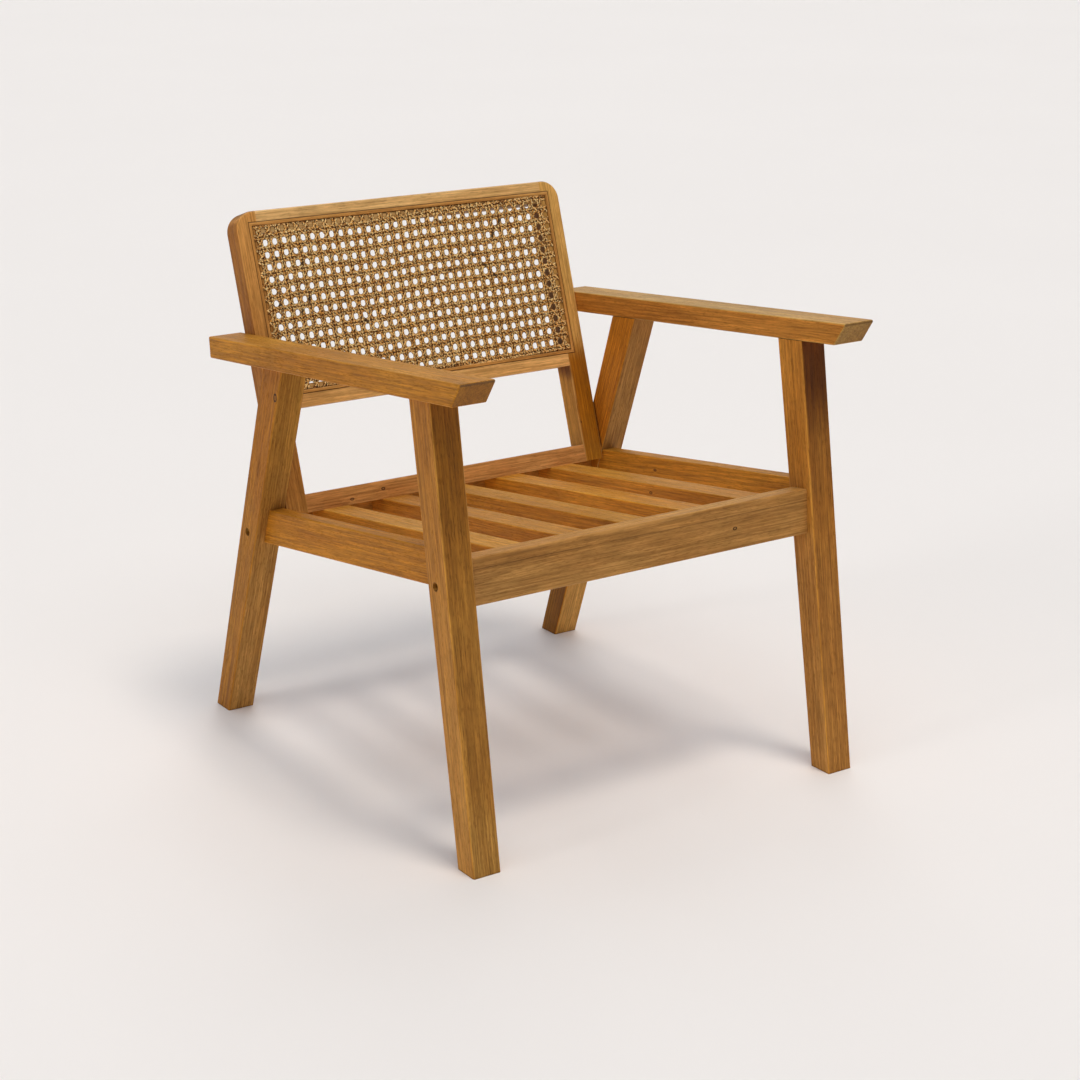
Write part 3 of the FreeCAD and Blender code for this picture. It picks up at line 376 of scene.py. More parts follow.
def paint(node, mat):
    o = NODES[node]
    if not o.data.materials:
        o.data.materials.append(mat)
    for i in range(len(o.data.materials)):
        o.data.materials[i] = mat
    for s in o.material_slots:
        s.material = mat


# legs: x runs up the leg, z is the outer side face
def leg_axis(front):
    return Vector((0, 87.1, 500.0)).normalized() if front else Vector((0, -168.0, 500.0)).normalized()


for side, sx in (("left", -1), ("right", 1)):
    for end, front in (("front", True), ("rear", False)):
        foot = 19.45 if front else 700.75
        foot_half = (38.9 / 2 if front else 39.9 / 2)
        top_half = ((131.0 - 82.1) / 2 if front else (558.9 - 506.6) / 2)
        a = leg_axis(front)
        slant = a.z                                            # the section is cut level, so across the grain it is thinner
        origin = Vector((sx * 0.3005, (foot - MID) * MM, 0.0))
        grow = (top_half - foot_half) * slant / 500.0
        seed = {("left", "front"): 1.3, ("right", "front"): 2.7, ("left", "rear"): 4.1, ("right", "rear"): 5.9}[(side, end)]
        tint = {("left", "front"): (1.40, 1.46, 1.26), ("right", "front"): (1.42, 1.42, 1.15),
                ("left", "rear"): (1.12, 1.05, 0.56), ("right", "rear"): (1.40, 1.20, 0.52)}[(side, end)]
        # painted light and shade: the front faces darken towards the top, where the armrests' shadow falls, and lighten
        # at the feet, where the floor's light reaches; the side faces and the rear legs' front faces are retinted by
        # height for the light on them
        shade = ()
        if front:
            shade = ((((0, -0.98, 0.17), 0.20, 0.52, (0.72, 0.75, 0.83), (0.49, 0.40, 0.205)),
                      ((0, -0.98, 0.17), 0.03, 0.12, (1.10, 1.22, 1.55), (1.0, 1.0, 1.0)),
                      ((-1, 0, 0), 0.18, 0.50, (1.05, 1.10, 1.42), (0.84, 0.75, 0.63))) if side == "left" else
                     (((0, -0.98, 0.17), 0.20, 0.40, (0.71, 0.70, 0.876), (0.62, 0.55, 0.46)),
                      ((0, -0.98, 0.17), 0.44, 0.56, (1.0, 1.0, 1.0), (0.42, 0.31, 0.06)),
                      ((-1, 0, 0), 0.25, 0.48, (0.86, 0.93, 1.36), (1.13, 1.13, 1.17))))
        elif side == "left":
            shade = (((-1, 0, 0), 0.22, 0.46, (1.0, 1.03, 1.16), (0.99, 0.91, 0.70)),
                     ((0, -0.948, -0.319), 0.20, 0.45, (1.08, 1.34, 3.30), (1.0, 1.20, 2.20)))
        else:
            shade = (((-1, 0, 0), 0.08, 0.36, (0.45, 0.46, 0.46), (0.97, 0.93, 0.86)),
                     ((0, -0.948, -0.319), 0.12, 0.36, (1.15, 1.64, 5.0), (0.75, 0.98, 2.75)))
        knots = ()
        if (side, end) == ("left", "rear"):
            # small ringed knot beside the front edge, at 526 mm above the floor
            rel = Vector((-0.3215, (503.5 - MID) * MM, 0.526)) - origin
            turn = spin(a, (sx, 0, 0))
            loc = turn.transposed() @ rel
            knots = ((loc.x * 1000, loc.y * 1000, 20.0, "z", 4.3, 5.0),)
        # painted shade: each foot darkens just above the floor, and each rear leg's inner face darkens along the plane
        # of the back's front, where the stile meets it
        paint("%s_%s_leg" % (side, end), wood(
            "wood_%s_%s_leg" % (side, end), origin, a, (sx, 0, 0),
            ((foot_half * slant * MM, grow), (0.021, 0.0)),
            pith=(0.035 * sx, -0.085), lean=(0.010, 0.012), spacing=0.0036, wave=0.0016, contrast=0.42,
            tint=tint, seed=seed, knots=knots, pores=0.85, joints=(((0, 0, 0.0), (0, 0, 1), 2.5, 0.40, None),) + (() if front else (
                (tuple(BACK_ZERO), tuple(BACK_OUT), 2.8, 0.70, (-sx, 0, 0)),)), shade=shade))

for side, sx in (("left", -1), ("right", 1)):
    mid = arm_point(305.75 * sx, 336.6, 15.5)
    axis = Vector((0, math.cos(ARM_SLOPE), -math.sin(ARM_SLOPE)))
    up = Vector((0, math.sin(ARM_SLOPE), math.cos(ARM_SLOPE)))
    # painted light: the left arm's outer face and both tops' front ends are painted lighter, the right arm's side faces
    # darker; the right arm's pale bluish tint is partly its wood and partly a painted sheen on its top
    paint("%s_armrest" % side, wood(
        "wood_%s_armrest" % side, mid, axis, up, ((0.02625, 0.0), (0.0155, 0.0)),
        pith=(0.030 * sx, -0.065), lean=(0.008, -0.020), spacing=0.0038, wave=0.0020, contrast=0.34,
        tint=((1.19, 1.16, 0.64) if side == "left" else (1.25, 1.63, 2.10)), seed=7.3 + sx * 1.7, pores=0.70,
        ends=((0.67, 0.94, 2.1) if side == "left" else (0.70, 0.76, 1.25)),
        shade=((((-1, 0, 0), 0.0, 1.0, (1.09, 1.07, 0.96), (1.09, 1.07, 0.96)), (tuple(up), 0.620, 0.655, (1.0, 1.0, 1.0), (1.14, 1.16, 1.08)))
               if side == "left" else
               (((-1, 0, 0), 0.0, 1.0, (1.15, 0.82, 0.54), (1.15, 0.82, 0.54)), (tuple(up), 0.620, 0.655, (1.0, 1.0, 1.1), (1.08, 0.98, 1.0)), ((1, 0, 0), 0.0, 1.0, (1.10, 0.90, 0.65), (1.10, 0.90, 0.65))))))

for side, sx in (("left", -1), ("right", 1)):
    mid = seat_point(294 * sx, 215.0, -12.7)
    axis = Vector((0, math.cos(SEAT_SLOPE), -math.sin(SEAT_SLOPE)))
    paint("%s_side_rail" % side, wood(
        "wood_%s_side_rail" % side, mid, axis, (-1, 0, 0), ((0.025, 0.0), (0.012, 0.0)),
        pith=(-0.050, -0.060), lean=(0.016, 0.010), spacing=0.0042, wave=0.0026, contrast=0.40,
        tint=((1.26, 1.13, 0.48) if side == "left" else (1.68, 1.60, 0.84)), pores=0.60, seed=11.1 + sx * 2.3,
        streaks=(((6.0, None, 0.9, 0.45, 2.2),) if side == "right" else ()),
        knots=(((109.0, -5.0, 12.0, "z", 2.2, 2.5),) if side == "right" else ())))

# front rail: x to the right, z out of the front face
# painted light: the top face is painted lighter, and the pale bluish tint is partly the wood and partly a painted sheen
# on the front face
paint("front_seat_rail", wood(
    "wood_front_seat_rail", (0.0, (88.0 - MID) * MM, 0.3703), (1, 0, 0), (0, -1, 0.07),
    ((0.0318, 0.0), (0.0155, 0.0)),
    pith=(0.022, -0.048), lean=(0.030, 0.0), spacing=0.0048, wave=0.0038, contrast=0.30,
    tint=(1.13, 1.31, 1.95), seed=15.7, pores=0.75, shade=(((0, 0, 1), 0.0, 1.0, (1.18, 1.15, 0.90), (1.18, 1.15, 0.90)),),
    knots=((150.0, -1.0, 15.5, "z", 2.6, 7.0),),
    streaks=((17.5, None, 1.0, 0.62, 1.6), (-16.0, None, 0.7, 0.35, 1.8))))

paint("rear_seat_rail", wood(
    "wood_rear_seat_rail", tuple(seat_point(0, 502.0, -46.0)), (1, 0, 0), (0, -1, 0.15),
    ((0.0225, 0.0), (0.014, 0.0)), pith=(0.03, -0.06), seed=17.9, contrast=0.45, tint=(1.10, 1.03, 0.80)))

slat_tints = ((1.41, 1.50, 1.08), (1.10, 1.06, 0.72), (1.13, 1.13, 0.68), (1.32, 1.29, 0.69), (1.25, 1.24, 0.80))
for i in range(5):
    cx = -200 + 100 * i
    mid = seat_point(cx, 240.0, -12.0)
    axis = Vector((0, math.cos(SEAT_SLOPE), -math.sin(SEAT_SLOPE)))
    up = Vector((0, math.sin(SEAT_SLOPE), math.cos(SEAT_SLOPE)))
    # painted bounce light: the side faces of each slat are painted lighter and warmer
    paint("seat_slat_%d" % (i + 1), wood(
        "wood_seat_slat_%d" % (i + 1), mid, axis, up, ((0.0215, 0.0), (0.012, 0.0)),
        pith=(0.02 + 0.011 * ((i * 7) % 5), -0.05 - 0.012 * ((i * 3) % 4)), lean=(0.014 * ((i % 3) - 1), 0.018), spacing=0.0036,
        wave=0.0022, contrast=0.34, tint=slat_tints[i], seed=21.0 + i * 3.37, pores=0.50,
        shade=(((-1, 0, 0), 0.0, 1.0, (1.14, 1.02, 0.86), (1.14, 1.02, 0.86)), ((1, 0, 0), 0.0, 1.0, (1.14, 1.02, 0.86), (1.14, 1.02, 0.86))),
        knots=(((-42.0, 21.5, -1.0, "y", 2.4, 3.0),) if i == 4 else ())))



# painted light and shade for the rear faces of the back: one flat tint, darker and warmer than the fronts, whose tints
# carry a painted sheen
def rear_face(r, g, b):
    return ((0, 0.95, -0.31), 0.0, 1.0, (r, g, b), (r, g, b))


for side, sx in (("left", -1), ("right", 1)):
    mid = back_point(263.0 * sx, 240.0, -17.5)
    # painted light and shade: the right stile's front is darker from the seat up to the armrest's height, less so at
    # the bottom, and its inner face is darker, most of all just under the middle rail; the left stile's front darkens
    # towards the bottom and its outer side face is darker; the pale bluish tints are partly the wood and partly a
    # painted sheen on the fronts
    paint("%s_back_stile" % side, wood(
        "wood_%s_back_stile" % side, mid, BACK_UP, BACK_OUT, ((0.0165, 0.0), (0.0175, 0.0)),
        pith=(0.075 * sx, 0.020), lean=(0.012, 0.010), spacing=0.0040, wave=0.0024, contrast=0.40,
        tint=((1.52, 1.66, 2.35) if side == "left" else (1.80, 2.36, 3.70)), seed=41.0 + sx * 3.1, recess=True, pores=0.60,
        knots=(((-142.0, 14.0, 17.5, "z", 1.2, 1.2),) if side == "right" else ()),
        shade=((((0, -0.95, 0.31), 0.48, 0.53, (0.55, 0.36, 0.06), (1.0, 1.0, 1.0)),
                ((0, -0.95, 0.31), 0.32, 0.37, (1.30, 1.45, 2.6), (1.0, 1.0, 1.0)),
                ((-1, 0, 0), 0.33, 0.37, (0.67, 0.57, 0.43), (0.93, 0.80, 0.43)), ((-1, 0, 0), 0.448, 0.468, (1.0, 1.0, 1.0), (0.42, 0.34, 0.18)), rear_face(0.82, 0.665, 0.365)) if side == "right" else
               (((0, -0.95, 0.31), 0.46, 0.74, (0.82, 0.80, 0.714), (1.0, 1.0, 1.0)),
                ((-1, 0, 0), 0.40, 0.80, (0.60, 0.50, 0.29), (0.68, 0.57, 0.33)), rear_face(0.95, 0.90, 0.60)))))

# painted light: the rails' pale bluish tints are partly the wood and partly a painted sheen on their fronts; the top
# faces are retinted for their light and the rear faces take a darker, warmer tint
for rail, s_mid, h, seed, tint in (("top", 459.3, 16.3, 51.3, (1.74, 2.38, 4.90)), ("middle", 203.7, 16.5, 54.9, (1.76, 2.24, 4.10)),
                                   ("bottom", 48.0, 15.0, 57.1, (1.45, 1.52, 2.42))):
    mid = back_point(0.0, s_mid, -17.5)
    kn = ()
    if rail == "bottom":
        kn = ((-118.0, 3.0, 17.5, "z", 2.4, 3.2), (-172.0, -4.0, 17.5, "z", 2.0, 2.6))
    paint("back_%s_rail" % rail, wood(
        "wood_back_%s_rail" % rail, mid, (1, 0, 0), BACK_OUT, ((h * MM, 0.0), (0.0175, 0.0)),
        pith=(0.030, -0.070), lean=(-0.018, 0.012), spacing=0.0038, wave=0.0022, contrast=0.36,
        tint=tint, seed=seed, knots=kn, pores=0.65, recess=(rail != "bottom"),
        shade=((rear_face(0.84, 0.68, 0.34), (tuple(BACK_UP), 0.0, 1.0, (0.79, 0.76, 0.70), (0.79, 0.76, 0.70))) if rail == "top" else
               (rear_face(0.84, 0.70, 0.38), (tuple(BACK_UP), 0.0, 1.0, (0.88, 0.78, 0.50), (0.88, 0.78, 0.50))) if rail == "middle" else
               (rear_face(1.0, 0.94, 0.65), (tuple(BACK_UP), 0.0, 1.0, (0.80, 1.30, 3.0), (0.80, 1.30, 3.0)))),
        streaks=(((-3.0, None, 0.6, 0.30, 1.2),) if rail == "middle" else ())))

# reed spline: finer and denser than the frame's wood, with a painted shade along both long sides where it meets the
# groove
for part, axis, place in (("top", (1, 0, 0), back_point(0, 456.1, 0)), ("bottom", (1, 0, 0), back_point(0, 209.7, 0)),
                          ("left", BACK_UP, back_point(-256.8, 333, 0)), ("right", BACK_UP, back_point(256.8, 333, 0))):
    paint("cane_spline_" + part, wood(
        "reed_spline_" + part, place, axis, BACK_OUT, ((0.0032, 0.0), (0.004, 0.0)),
        pith=(0.004, -0.020), spacing=0.0011, wave=0.0004, contrast=0.45, tint=(1.52, 1.72, 2.50), seed=61.0 + len(part) * 1.9,
        wear_and_highlight=0.6, pores=0.7, painted_rim_shade=(3.25, 1.1, 0.85)))

for k, node in enumerate(("rail_dowels", "stile_dowels", "arm_dowels")):
    lo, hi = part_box(node)
    paint(node, wood("beech_" + node, (lo + hi) / 2, (1, 0, 0), (0, 0, 1), ((0.02, 0.0), (0.02, 0.0)),
                     pith=(0.02, -0.03), spacing=0.0012, contrast=0.25, tint=(1.25, 1.65, 2.4), seed=71.0 + k * 2.1, wear_and_highlight=0.0, pores=0.5))


# ---------------------------------------------------------------- steel
def steel(name, seed, tint=(0.33, 0.32, 0.30), turned_axis=(1, 0, 0)):
    t = Tree(name)
    coords = t.new("ShaderNodeTexCoord")
    p = t.vmath("ADD", coords.outputs["Object"], (seed, seed * 0.7, -seed))
    blot = t.noise(t.vmath("MULTIPLY", p, (260.0, 260.0, 260.0)), detail=4.0, rough=0.6)
    turned = t.noise(t.vmath("MULTIPLY", p, (2600.0, 180.0, 180.0)), detail=2.0)
    rust = t.span(t.noise(t.vmath("MULTIPLY", p, (420.0, 420.0, 420.0)), detail=3.0), 0.58, 0.74)
    col = t.mix(blot, tuple(0.72 * v for v in tint), tuple(1.2 * v for v in tint))
    col = t.mix(t.math("MULTIPLY", rust, 0.35), col, (0.10, 0.06, 0.035))
    t.put(t.bsdf.inputs["Base Color"], col)
    t.put(t.bsdf.inputs["Roughness"], t.math("MULTIPLY_ADD", blot, 0.30, 0.26))
    t.put(t.bsdf.inputs["Normal"], t.bump(turned, 0.00005, 0.4))
    t.bsdf.inputs["Metallic"].default_value = 1.0
    return t.mat


paint("frame_bolts", steel("zinc_bolts", 1.7))
paint("bolt_washers", steel("zinc_washers", 3.1, (0.38, 0.37, 0.35)))
paint("barrel_nuts", steel("zinc_barrel_nuts", 5.3, (0.36, 0.35, 0.33)))


# ---------------------------------------------------------------- woven cane
def cane_material(name, seed, bright=1.0):
    t = Tree(name)
    tone_a = t.new("ShaderNodeAttribute", attribute_name="tone").outputs["Fac"]
    along = t.new("ShaderNodeAttribute", attribute_name="along").outputs["Fac"]
    across = t.new("ShaderNodeAttribute", attribute_name="across").outputs["Fac"]
    dark_a = t.new("ShaderNodeAttribute", attribute_name="dark").outputs["Fac"]
    inner = t.new("ShaderNodeAttribute", attribute_name="inner").outputs["Fac"]
    low = t.new("ShaderNodeAttribute", attribute_name="low").outputs["Fac"]
    pair_side_shade = t.new("ShaderNodeAttribute", attribute_name="pair_side_shade").outputs["Fac"]
    v = t.join(along, across, t.math("MULTIPLY", tone_a, 37.0 + seed))
    vessel = t.noise(t.vmath("MULTIPLY", v, (38.0, 1.15, 1.0)), detail=2.0, rough=0.55)
    fleck = t.noise(t.vmath("MULTIPLY", v, (34.0, 1.0, 2.0)), detail=2.0, rough=0.55)
    patch = t.noise(t.vmath("MULTIPLY", v, (16.0, 0.6, 1.0)), detail=2.0)
    lines = t.noise(t.vmath("MULTIPLY", v, (6.0, 7.0, 1.0)), detail=2.0, rough=0.6)
    node_mark = t.span(t.noise(t.vmath("MULTIPLY", v, (9.0, 0.1, 3.0)), detail=1.0), 0.66, 0.74)
    straw = tuple(bright * c for c in (0.985, 0.525, 0.160))
    honey = tuple(bright * c for c in (0.735, 0.318, 0.060))
    amber = tuple(bright * c for c in (0.118, 0.027, 0.002))
    pale = tuple(bright * c for c in (1.0, 0.74, 0.33))
    col = t.mix(t.span(tone_a, 0.05, 0.95, smooth=False), straw, honey)
    col = t.mix(t.span(patch, 0.46, 0.70, 0.0, 0.60), col, amber)
    col = t.mix(t.span(fleck, 0.485, 0.565, 0.0, 0.94), col, pale)
    col = t.mix(t.span(vessel, 0.495, 0.575, 0.0, 0.94), col, amber)
    col = t.mix(t.span(lines, 0.54, 0.74, 0.0, 0.45), col, amber)
    col = t.mix(t.math("MULTIPLY", node_mark, 0.60), col, (0.10, 0.035, 0.010))
    col = t.mix(t.math("MULTIPLY", inner, 0.55), col, (0.20, 0.095, 0.030))
    # painted shade: each strand darkens towards its edges
    painted_rim_shade = t.span(t.math("ABSOLUTE", across), 0.62, 1.0)
    col = t.mix(t.math("MULTIPLY", painted_rim_shade, 0.85), col, tuple(0.42 * c for c in amber))
    # painted shade on the side of each strand that lies against its pair
    col = t.mix(t.span(pair_side_shade, 0.22, 0.70, 0.0, 0.96), col, tuple(0.40 * c for c in amber))
    # painted shade where a strand dips under the others
    col = t.mix(t.math("MULTIPLY", low, 0.60), col, tuple(0.8 * c for c in amber))
    col = t.mix(dark_a, col, (0.030, 0.016, 0.010))
    t.put(t.bsdf.inputs["Base Color"], col)
    t.put(t.bsdf.inputs["Roughness"], t.math("MULTIPLY_ADD", inner, 0.22, t.math("MULTIPLY_ADD", vessel, 0.25, 0.38)))
    t.put(t.bsdf.inputs["Normal"], t.bump(t.math("ADD", vessel, lines), 0.00012, 0.6))
    t.bsdf.inputs["IOR"].default_value = 1.46
    t.bsdf.inputs["Specular IOR Level"].default_value = 0.14
    return t.mat


PU, PS = 15.75, 17.72             # pitch across and up the panel, mm
PAIR_U, PAIR_S = 4.30, 4.46       # between the two strands of a pair
WIDE_U, WIDE_S, WIDE_D = 4.38, 4.56, 3.40
EDGE_U, EDGE_LO, EDGE_HI = 253.5, 212.9, 452.9
THICK = 0.58
LAY = -0.92                       # mid-plane of the webbing under the frame's front face


def warp(a, b):
    """Lattice place to plane mm: pairs lie at whole numbers, holes half way, with the real webbing's slant and slow waves."""
    x = (a - 15.5) / 15.0
    y = (b - 7.0) / 6.5
    t = 2 * math.pi * (a - 0.5) / 13.75
    s = (319.36 + 115.18 * y - 0.13 * y * y + 7.72 * x - 1.93 * x ** 3 + 1.3 * x * y - 0.78 * x * y * y
         + (0.74 + 0.25 * y) * np.sin(t) - 0.13 * np.cos(t))
    u = -2.13 + 236.3 * x + 0.65 * x * x - 0.5 * x ** 3 - 1.75 * y + 0.79 * y * y
    return u, s


class Strands:
    """Collects flat cane strands as closed tubes of a lens section."""

    SECTION = np.array([(-1.0, -0.05), (-0.62, 0.72), (0.0, 1.0), (0.62, 0.72), (1.0, -0.05), (0.55, -0.62), (-0.55, -0.62)])

    def __init__(self, seed):
        self.rng = np.random.default_rng(seed)
        self.verts, self.faces = [], []
        self.attr = {k: [] for k in ("tone", "along", "across", "dark", "inner", "low", "pair_side_shade")}
        self.count = 0

    def add(self, u, s, w, width, dark=None, tone=None, swing=0.3, mate=0):
        """u, s, w in mm along the strand's middle; width is its full width; mate: on which side the pair's other strand lies."""
        pts = np.stack([u, s, w], 1)
        n = len(pts)
        if n < 4:
            return
        tan = np.gradient(pts, axis=0)
        tan /= np.linalg.norm(tan, axis=1)[:, None]
        side = np.stack([tan[:, 1], -tan[:, 0], np.zeros(n)], 1)     # to the right of the run, in the plane
        side /= np.maximum(np.linalg.norm(side, axis=1), 1e-6)[:, None]
        up = np.cross(side, tan)
        up *= np.sign(up[:, 2:3] + 1e-9)
        sec = self.SECTION
        k = len(sec)
        wd = width if np.ndim(width) else np.full(n, width)
        ring = pts[:, None, :] + side[:, None, :] * (sec[None, :, 0:1] * wd[:, None, None] / 2) + up[:, None, :] * (sec[None, :, 1:2] * THICK / 2)
        base = self.count
        self.verts.append(ring.reshape(-1, 3))
        i = np.arange(n - 1)[:, None] * k
        j = np.arange(k)[None, :]
        jn = (j + 1) % k
        quads = np.stack([base + i + j, base + i + jn, base + i + k + jn, base + i + k + j], 2).reshape(-1, 4)
        self.faces.extend(quads.tolist())
        self.faces.append(list(range(base, base + k))[::-1])
        self.faces.append(list(range(base + (n - 1) * k, base + n * k)))
        step = np.r_[0, np.linalg.norm(np.diff(pts, axis=0), axis=1)].cumsum() / 100.0
        tone = self.rng.uniform(0, 1) if tone is None else tone
        self.attr["tone"].append(np.full(n * k, tone))
        self.attr["along"].append(np.repeat(step, k))
        self.attr["across"].append(np.tile(sec[:, 0], n))
        self.attr["dark"].append(np.repeat(dark if dark is not None else np.zeros(n), k))
        self.attr["inner"].append(np.tile((sec[:, 1] < -0.3).astype(float), n))
        # how far the strand dips below the webbing's mid-plane, for a painted shade there
        self.attr["low"].append(np.repeat(np.clip((LAY - w) / swing, 0, 1), k))
        # which side lies against the pair's other strand, for a painted shade there
        self.attr["pair_side_shade"].append(np.tile(np.clip(sec[:, 0] * mate, 0, 1), n))
        self.count += n * k

    def build(self, name, mat):
        v = np.concatenate(self.verts)
        # out of the plane of the back, into the chair
        world = (np.array(BACK_ZERO)[None, :] + v[:, 0:1] * MM * np.array([[1.0, 0, 0]])
                 + v[:, 1:2] * MM * np.array(BACK_UP)[None, :] + v[:, 2:3] * MM * np.array(BACK_OUT)[None, :])
        me = bpy.data.meshes.new(name)
        me.from_pydata(world.tolist(), [], self.faces)
        me.update()
        for key, parts in self.attr.items():
            layer = me.attributes.new(key, "FLOAT", "POINT")
            layer.data.foreach_set("value", np.concatenate(parts).astype(np.float32))
        me.polygons.foreach_set("use_smooth", np.ones(len(me.polygons), dtype=bool))
        o = bpy.data.objects.new(name, me)
        bpy.context.scene.collection.objects.link(o)
        o.data.materials.append(mat)
        # every tube's faces point out
        import bmesh
        bm = bmesh.new()
        bm.from_mesh(me)
        bmesh.ops.recalc_face_normals(bm, faces=bm.faces)
        bm.to_mesh(me)
        bm.free()
        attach(o, "root")
        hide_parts("cane_panel")
        return o


def slow(rng, n, length, size):
    """A smooth wander of a strand, in mm."""
    x = np.linspace(0, 1, n)
    out = np.zeros(n)
    for k in range(1, 6):
        out += rng.normal(0, 1.0 / k) * np.sin(math.pi * k * x * length / 160.0 + rng.uniform(0, 6.28))
    return out * size / 1.6


def tucked(u, s, w):
    """Cuts a strand at the spline and turns its ends down into the groove."""
    ok = (np.abs(u) <= EDGE_U - 0.35) & (s >= EDGE_LO + 0.35) & (s <= EDGE_HI - 0.35)
    idx = np.flatnonzero(ok)
    if len(idx) < 6:
        return None
    a, b = idx[0], idx[-1]
    keep = slice(a, b + 1)
    u2, s2, w2 = u[keep], s[keep], w[keep]
    parts = []
    for end in (0, 1):
        p = np.array([u2[0], s2[0]]) if end == 0 else np.array([u2[-1], s2[-1]])
        q = np.array([u2[1], s2[1]]) if end == 0 else np.array([u2[-2], s2[-2]])
        d = (p - q) / max(np.linalg.norm(p - q), 1e-6)
        hit = []
        if d[0] > 1e-4:
            hit.append((EDGE_U + 0.6 - p[0]) / d[0])
        if d[0] < -1e-4:
            hit.append((-EDGE_U - 0.6 - p[0]) / d[0])
        if d[1] > 1e-4:
            hit.append((EDGE_HI + 0.6 - p[1]) / d[1])
        if d[1] < -1e-4:
            hit.append((EDGE_LO - 0.6 - p[1]) / d[1])
        reach = min(hit)
        w0 = w2[0] if end == 0 else w2[-1]
        rows = [(p + d * reach * 0.55, w0 * 0.6 + LAY * 0.4 - 0.10), (p + d * reach * 0.92, LAY - 0.9), (p + d * reach, LAY - 2.2), (p + d * reach, LAY - 4.8)]
        arr = np.array([(r[0][0], r[0][1], r[1]) for r in rows])
        parts.append(arr)
    head, tail = parts[0][::-1], parts[1]
    u3 = np.r_[head[:, 0], u2, tail[:, 0]]
    s3 = np.r_[head[:, 1], s2, tail[:, 1]]
    w3 = np.r_[head[:, 2], w2, tail[:, 2]]
    return u3, s3, w3


# darker stretches of bark left on single strands: across, up, reach along the strand, slant of the strand
MARKS = [(163, 421, 6.5, 1), (146, 402, 6.0, 1), (60, 431, 4.0, -1), (-182, 342, 6.0, 1), (-198, 325, 5.0, 1), (-183, 392, 5.5, 1), (-232, 336, 5.5, 1),
         (-96, 298, 6.0, -1), (-224, 405, 5.0, -1), (-123, 335, 4.5, -1), (124, 359, 5.5, -1), (138, 340, 5.5, -1),
         (59, 356, 5.0, -1), (104, 376, 4.0, -1), (75, 325, 5.0, 1), (23, 293, 4.0, 1), (189, 280, 5.0, -1), (-30, 412, 4.0, -1), (196, 330, 4.0, -1),
         (-58, 345, 3.5, -1), (118, 300, 4.0, 1), (214, 402, 3.5, -1)]

STEP = 2.1
n_a = np.arange(-1, 34)
n_b = np.arange(-1, 17)


def lattice_line(a0, b0, a1, b1):
    n = int(math.hypot((a1 - a0) * PU, (b1 - b0) * PS) / STEP) + 2
    return np.linspace(a0, a1, n), np.linspace(b0, b1, n)


def ripple(x, pitch, gap):
    """Up over one strand of each crossing pair and down under the other; 1 at their middles."""
    t = (x - np.round(x)) * pitch
    return -1.5 * np.sin(math.pi * t / gap) * np.exp(-(t / (gap * 0.8)) ** 2)


HALF_U, HALF_S = PAIR_U / PU / 2, PAIR_S / PS / 2
FLAT = math.tanh(1.9)

up_and_down = Strands(5)
for ia in n_a:
    rng = up_and_down.rng
    both = None
    for e in (-1, 1):
        a, b = lattice_line(ia + e * HALF_U, -1.4, ia + e * HALF_U, 16.4)
        u, s = warp(a, b)
        both = slow(rng, len(u), 270, 0.30) + rng.uniform(-0.3, 0.3) if both is None else both
        u = u + both + slow(rng, len(u), 270, 0.07)
        cut = tucked(u, s, LAY + THICK * 0.5 * e * ripple(b, PS, PAIR_S))
        if cut is not None:
            up_and_down.add(*cut, WIDE_U * rng.uniform(0.94, 1.05) * (1 + slow(rng, len(cut[0]), 270, 0.03)), mate=-e)

side_to_side = Strands(6)
for jb in n_b:
    rng = side_to_side.rng
    both = None
    for g in (-1, 1):
        a, b = lattice_line(-1.4, jb + g * HALF_S, 33.4, jb + g * HALF_S)
        u, s = warp(a, b)
        both = slow(rng, len(u), 530, 0.30) + rng.uniform(-0.3, 0.3) if both is None else both
        s = s + both + slow(rng, len(u), 530, 0.07)
        cut = tucked(u, s, LAY - THICK * 0.5 * g * ripple(a, PU, PAIR_U))
        if cut is not None:
            side_to_side.add(*cut, WIDE_S * rng.uniform(0.94, 1.05) * (1 + slow(rng, len(cut[0]), 530, 0.03)), mate=g)

slants = []
for sign in (1, -1):
    st = Strands(7 if sign > 0 else 8)
    runs = []
    for m in range(-36, 52):
        a, b = lattice_line(-1.4, sign * -1.4 + m + 0.5, 33.4, sign * 33.4 + m + 0.5)
        keep = (b > -1.5) & (b < 16.5)
        if keep.sum() < 6:
            continue
        a, b = a[keep], b[keep]
        u, s = warp(a, b)
        rng = st.rng
        off = slow(rng, len(u), 300, 0.26) + rng.uniform(-0.30, 0.30)
        u = u - off * 0.75
        s = s + off * 0.66 * sign
        cut = tucked(u, s, LAY - THICK * 0.98 * sign * np.tanh(1.9 * np.cos(2 * math.pi * b)) / FLAT)
        if cut is not None:
            runs.append([*cut, np.zeros(len(cut[0]))])
    for mu, ms, reach, slant in MARKS:
        if slant == sign:
            u, s, _, dark = min(runs, key=lambda r: np.hypot(r[0] - mu, r[1] - ms).min())
            i = np.argmin(np.hypot(u - mu, s - ms))
            dark[:] = np.maximum(dark, np.clip(1.35 - np.hypot(u - u[i], s - s[i]) / reach, 0, 1) * 0.92)
    for u, s, w, dark in runs:
        st.add(u, s, w, WIDE_D * st.rng.uniform(0.92, 1.07) * (1 + slow(st.rng, len(u), 300, 0.04)), dark=dark, swing=0.6)
    slants.append(st)

up_and_down.build("cane_strands_upright", cane_material("cane_upright", 1.0))
side_to_side.build("cane_strands_level", cane_material("cane_level", 2.0))
slants[0].build("cane_strands_slant_a", cane_material("cane_slant_a", 3.0))
slants[1].build("cane_strands_slant_b", cane_material("cane_slant_b", 4.0))


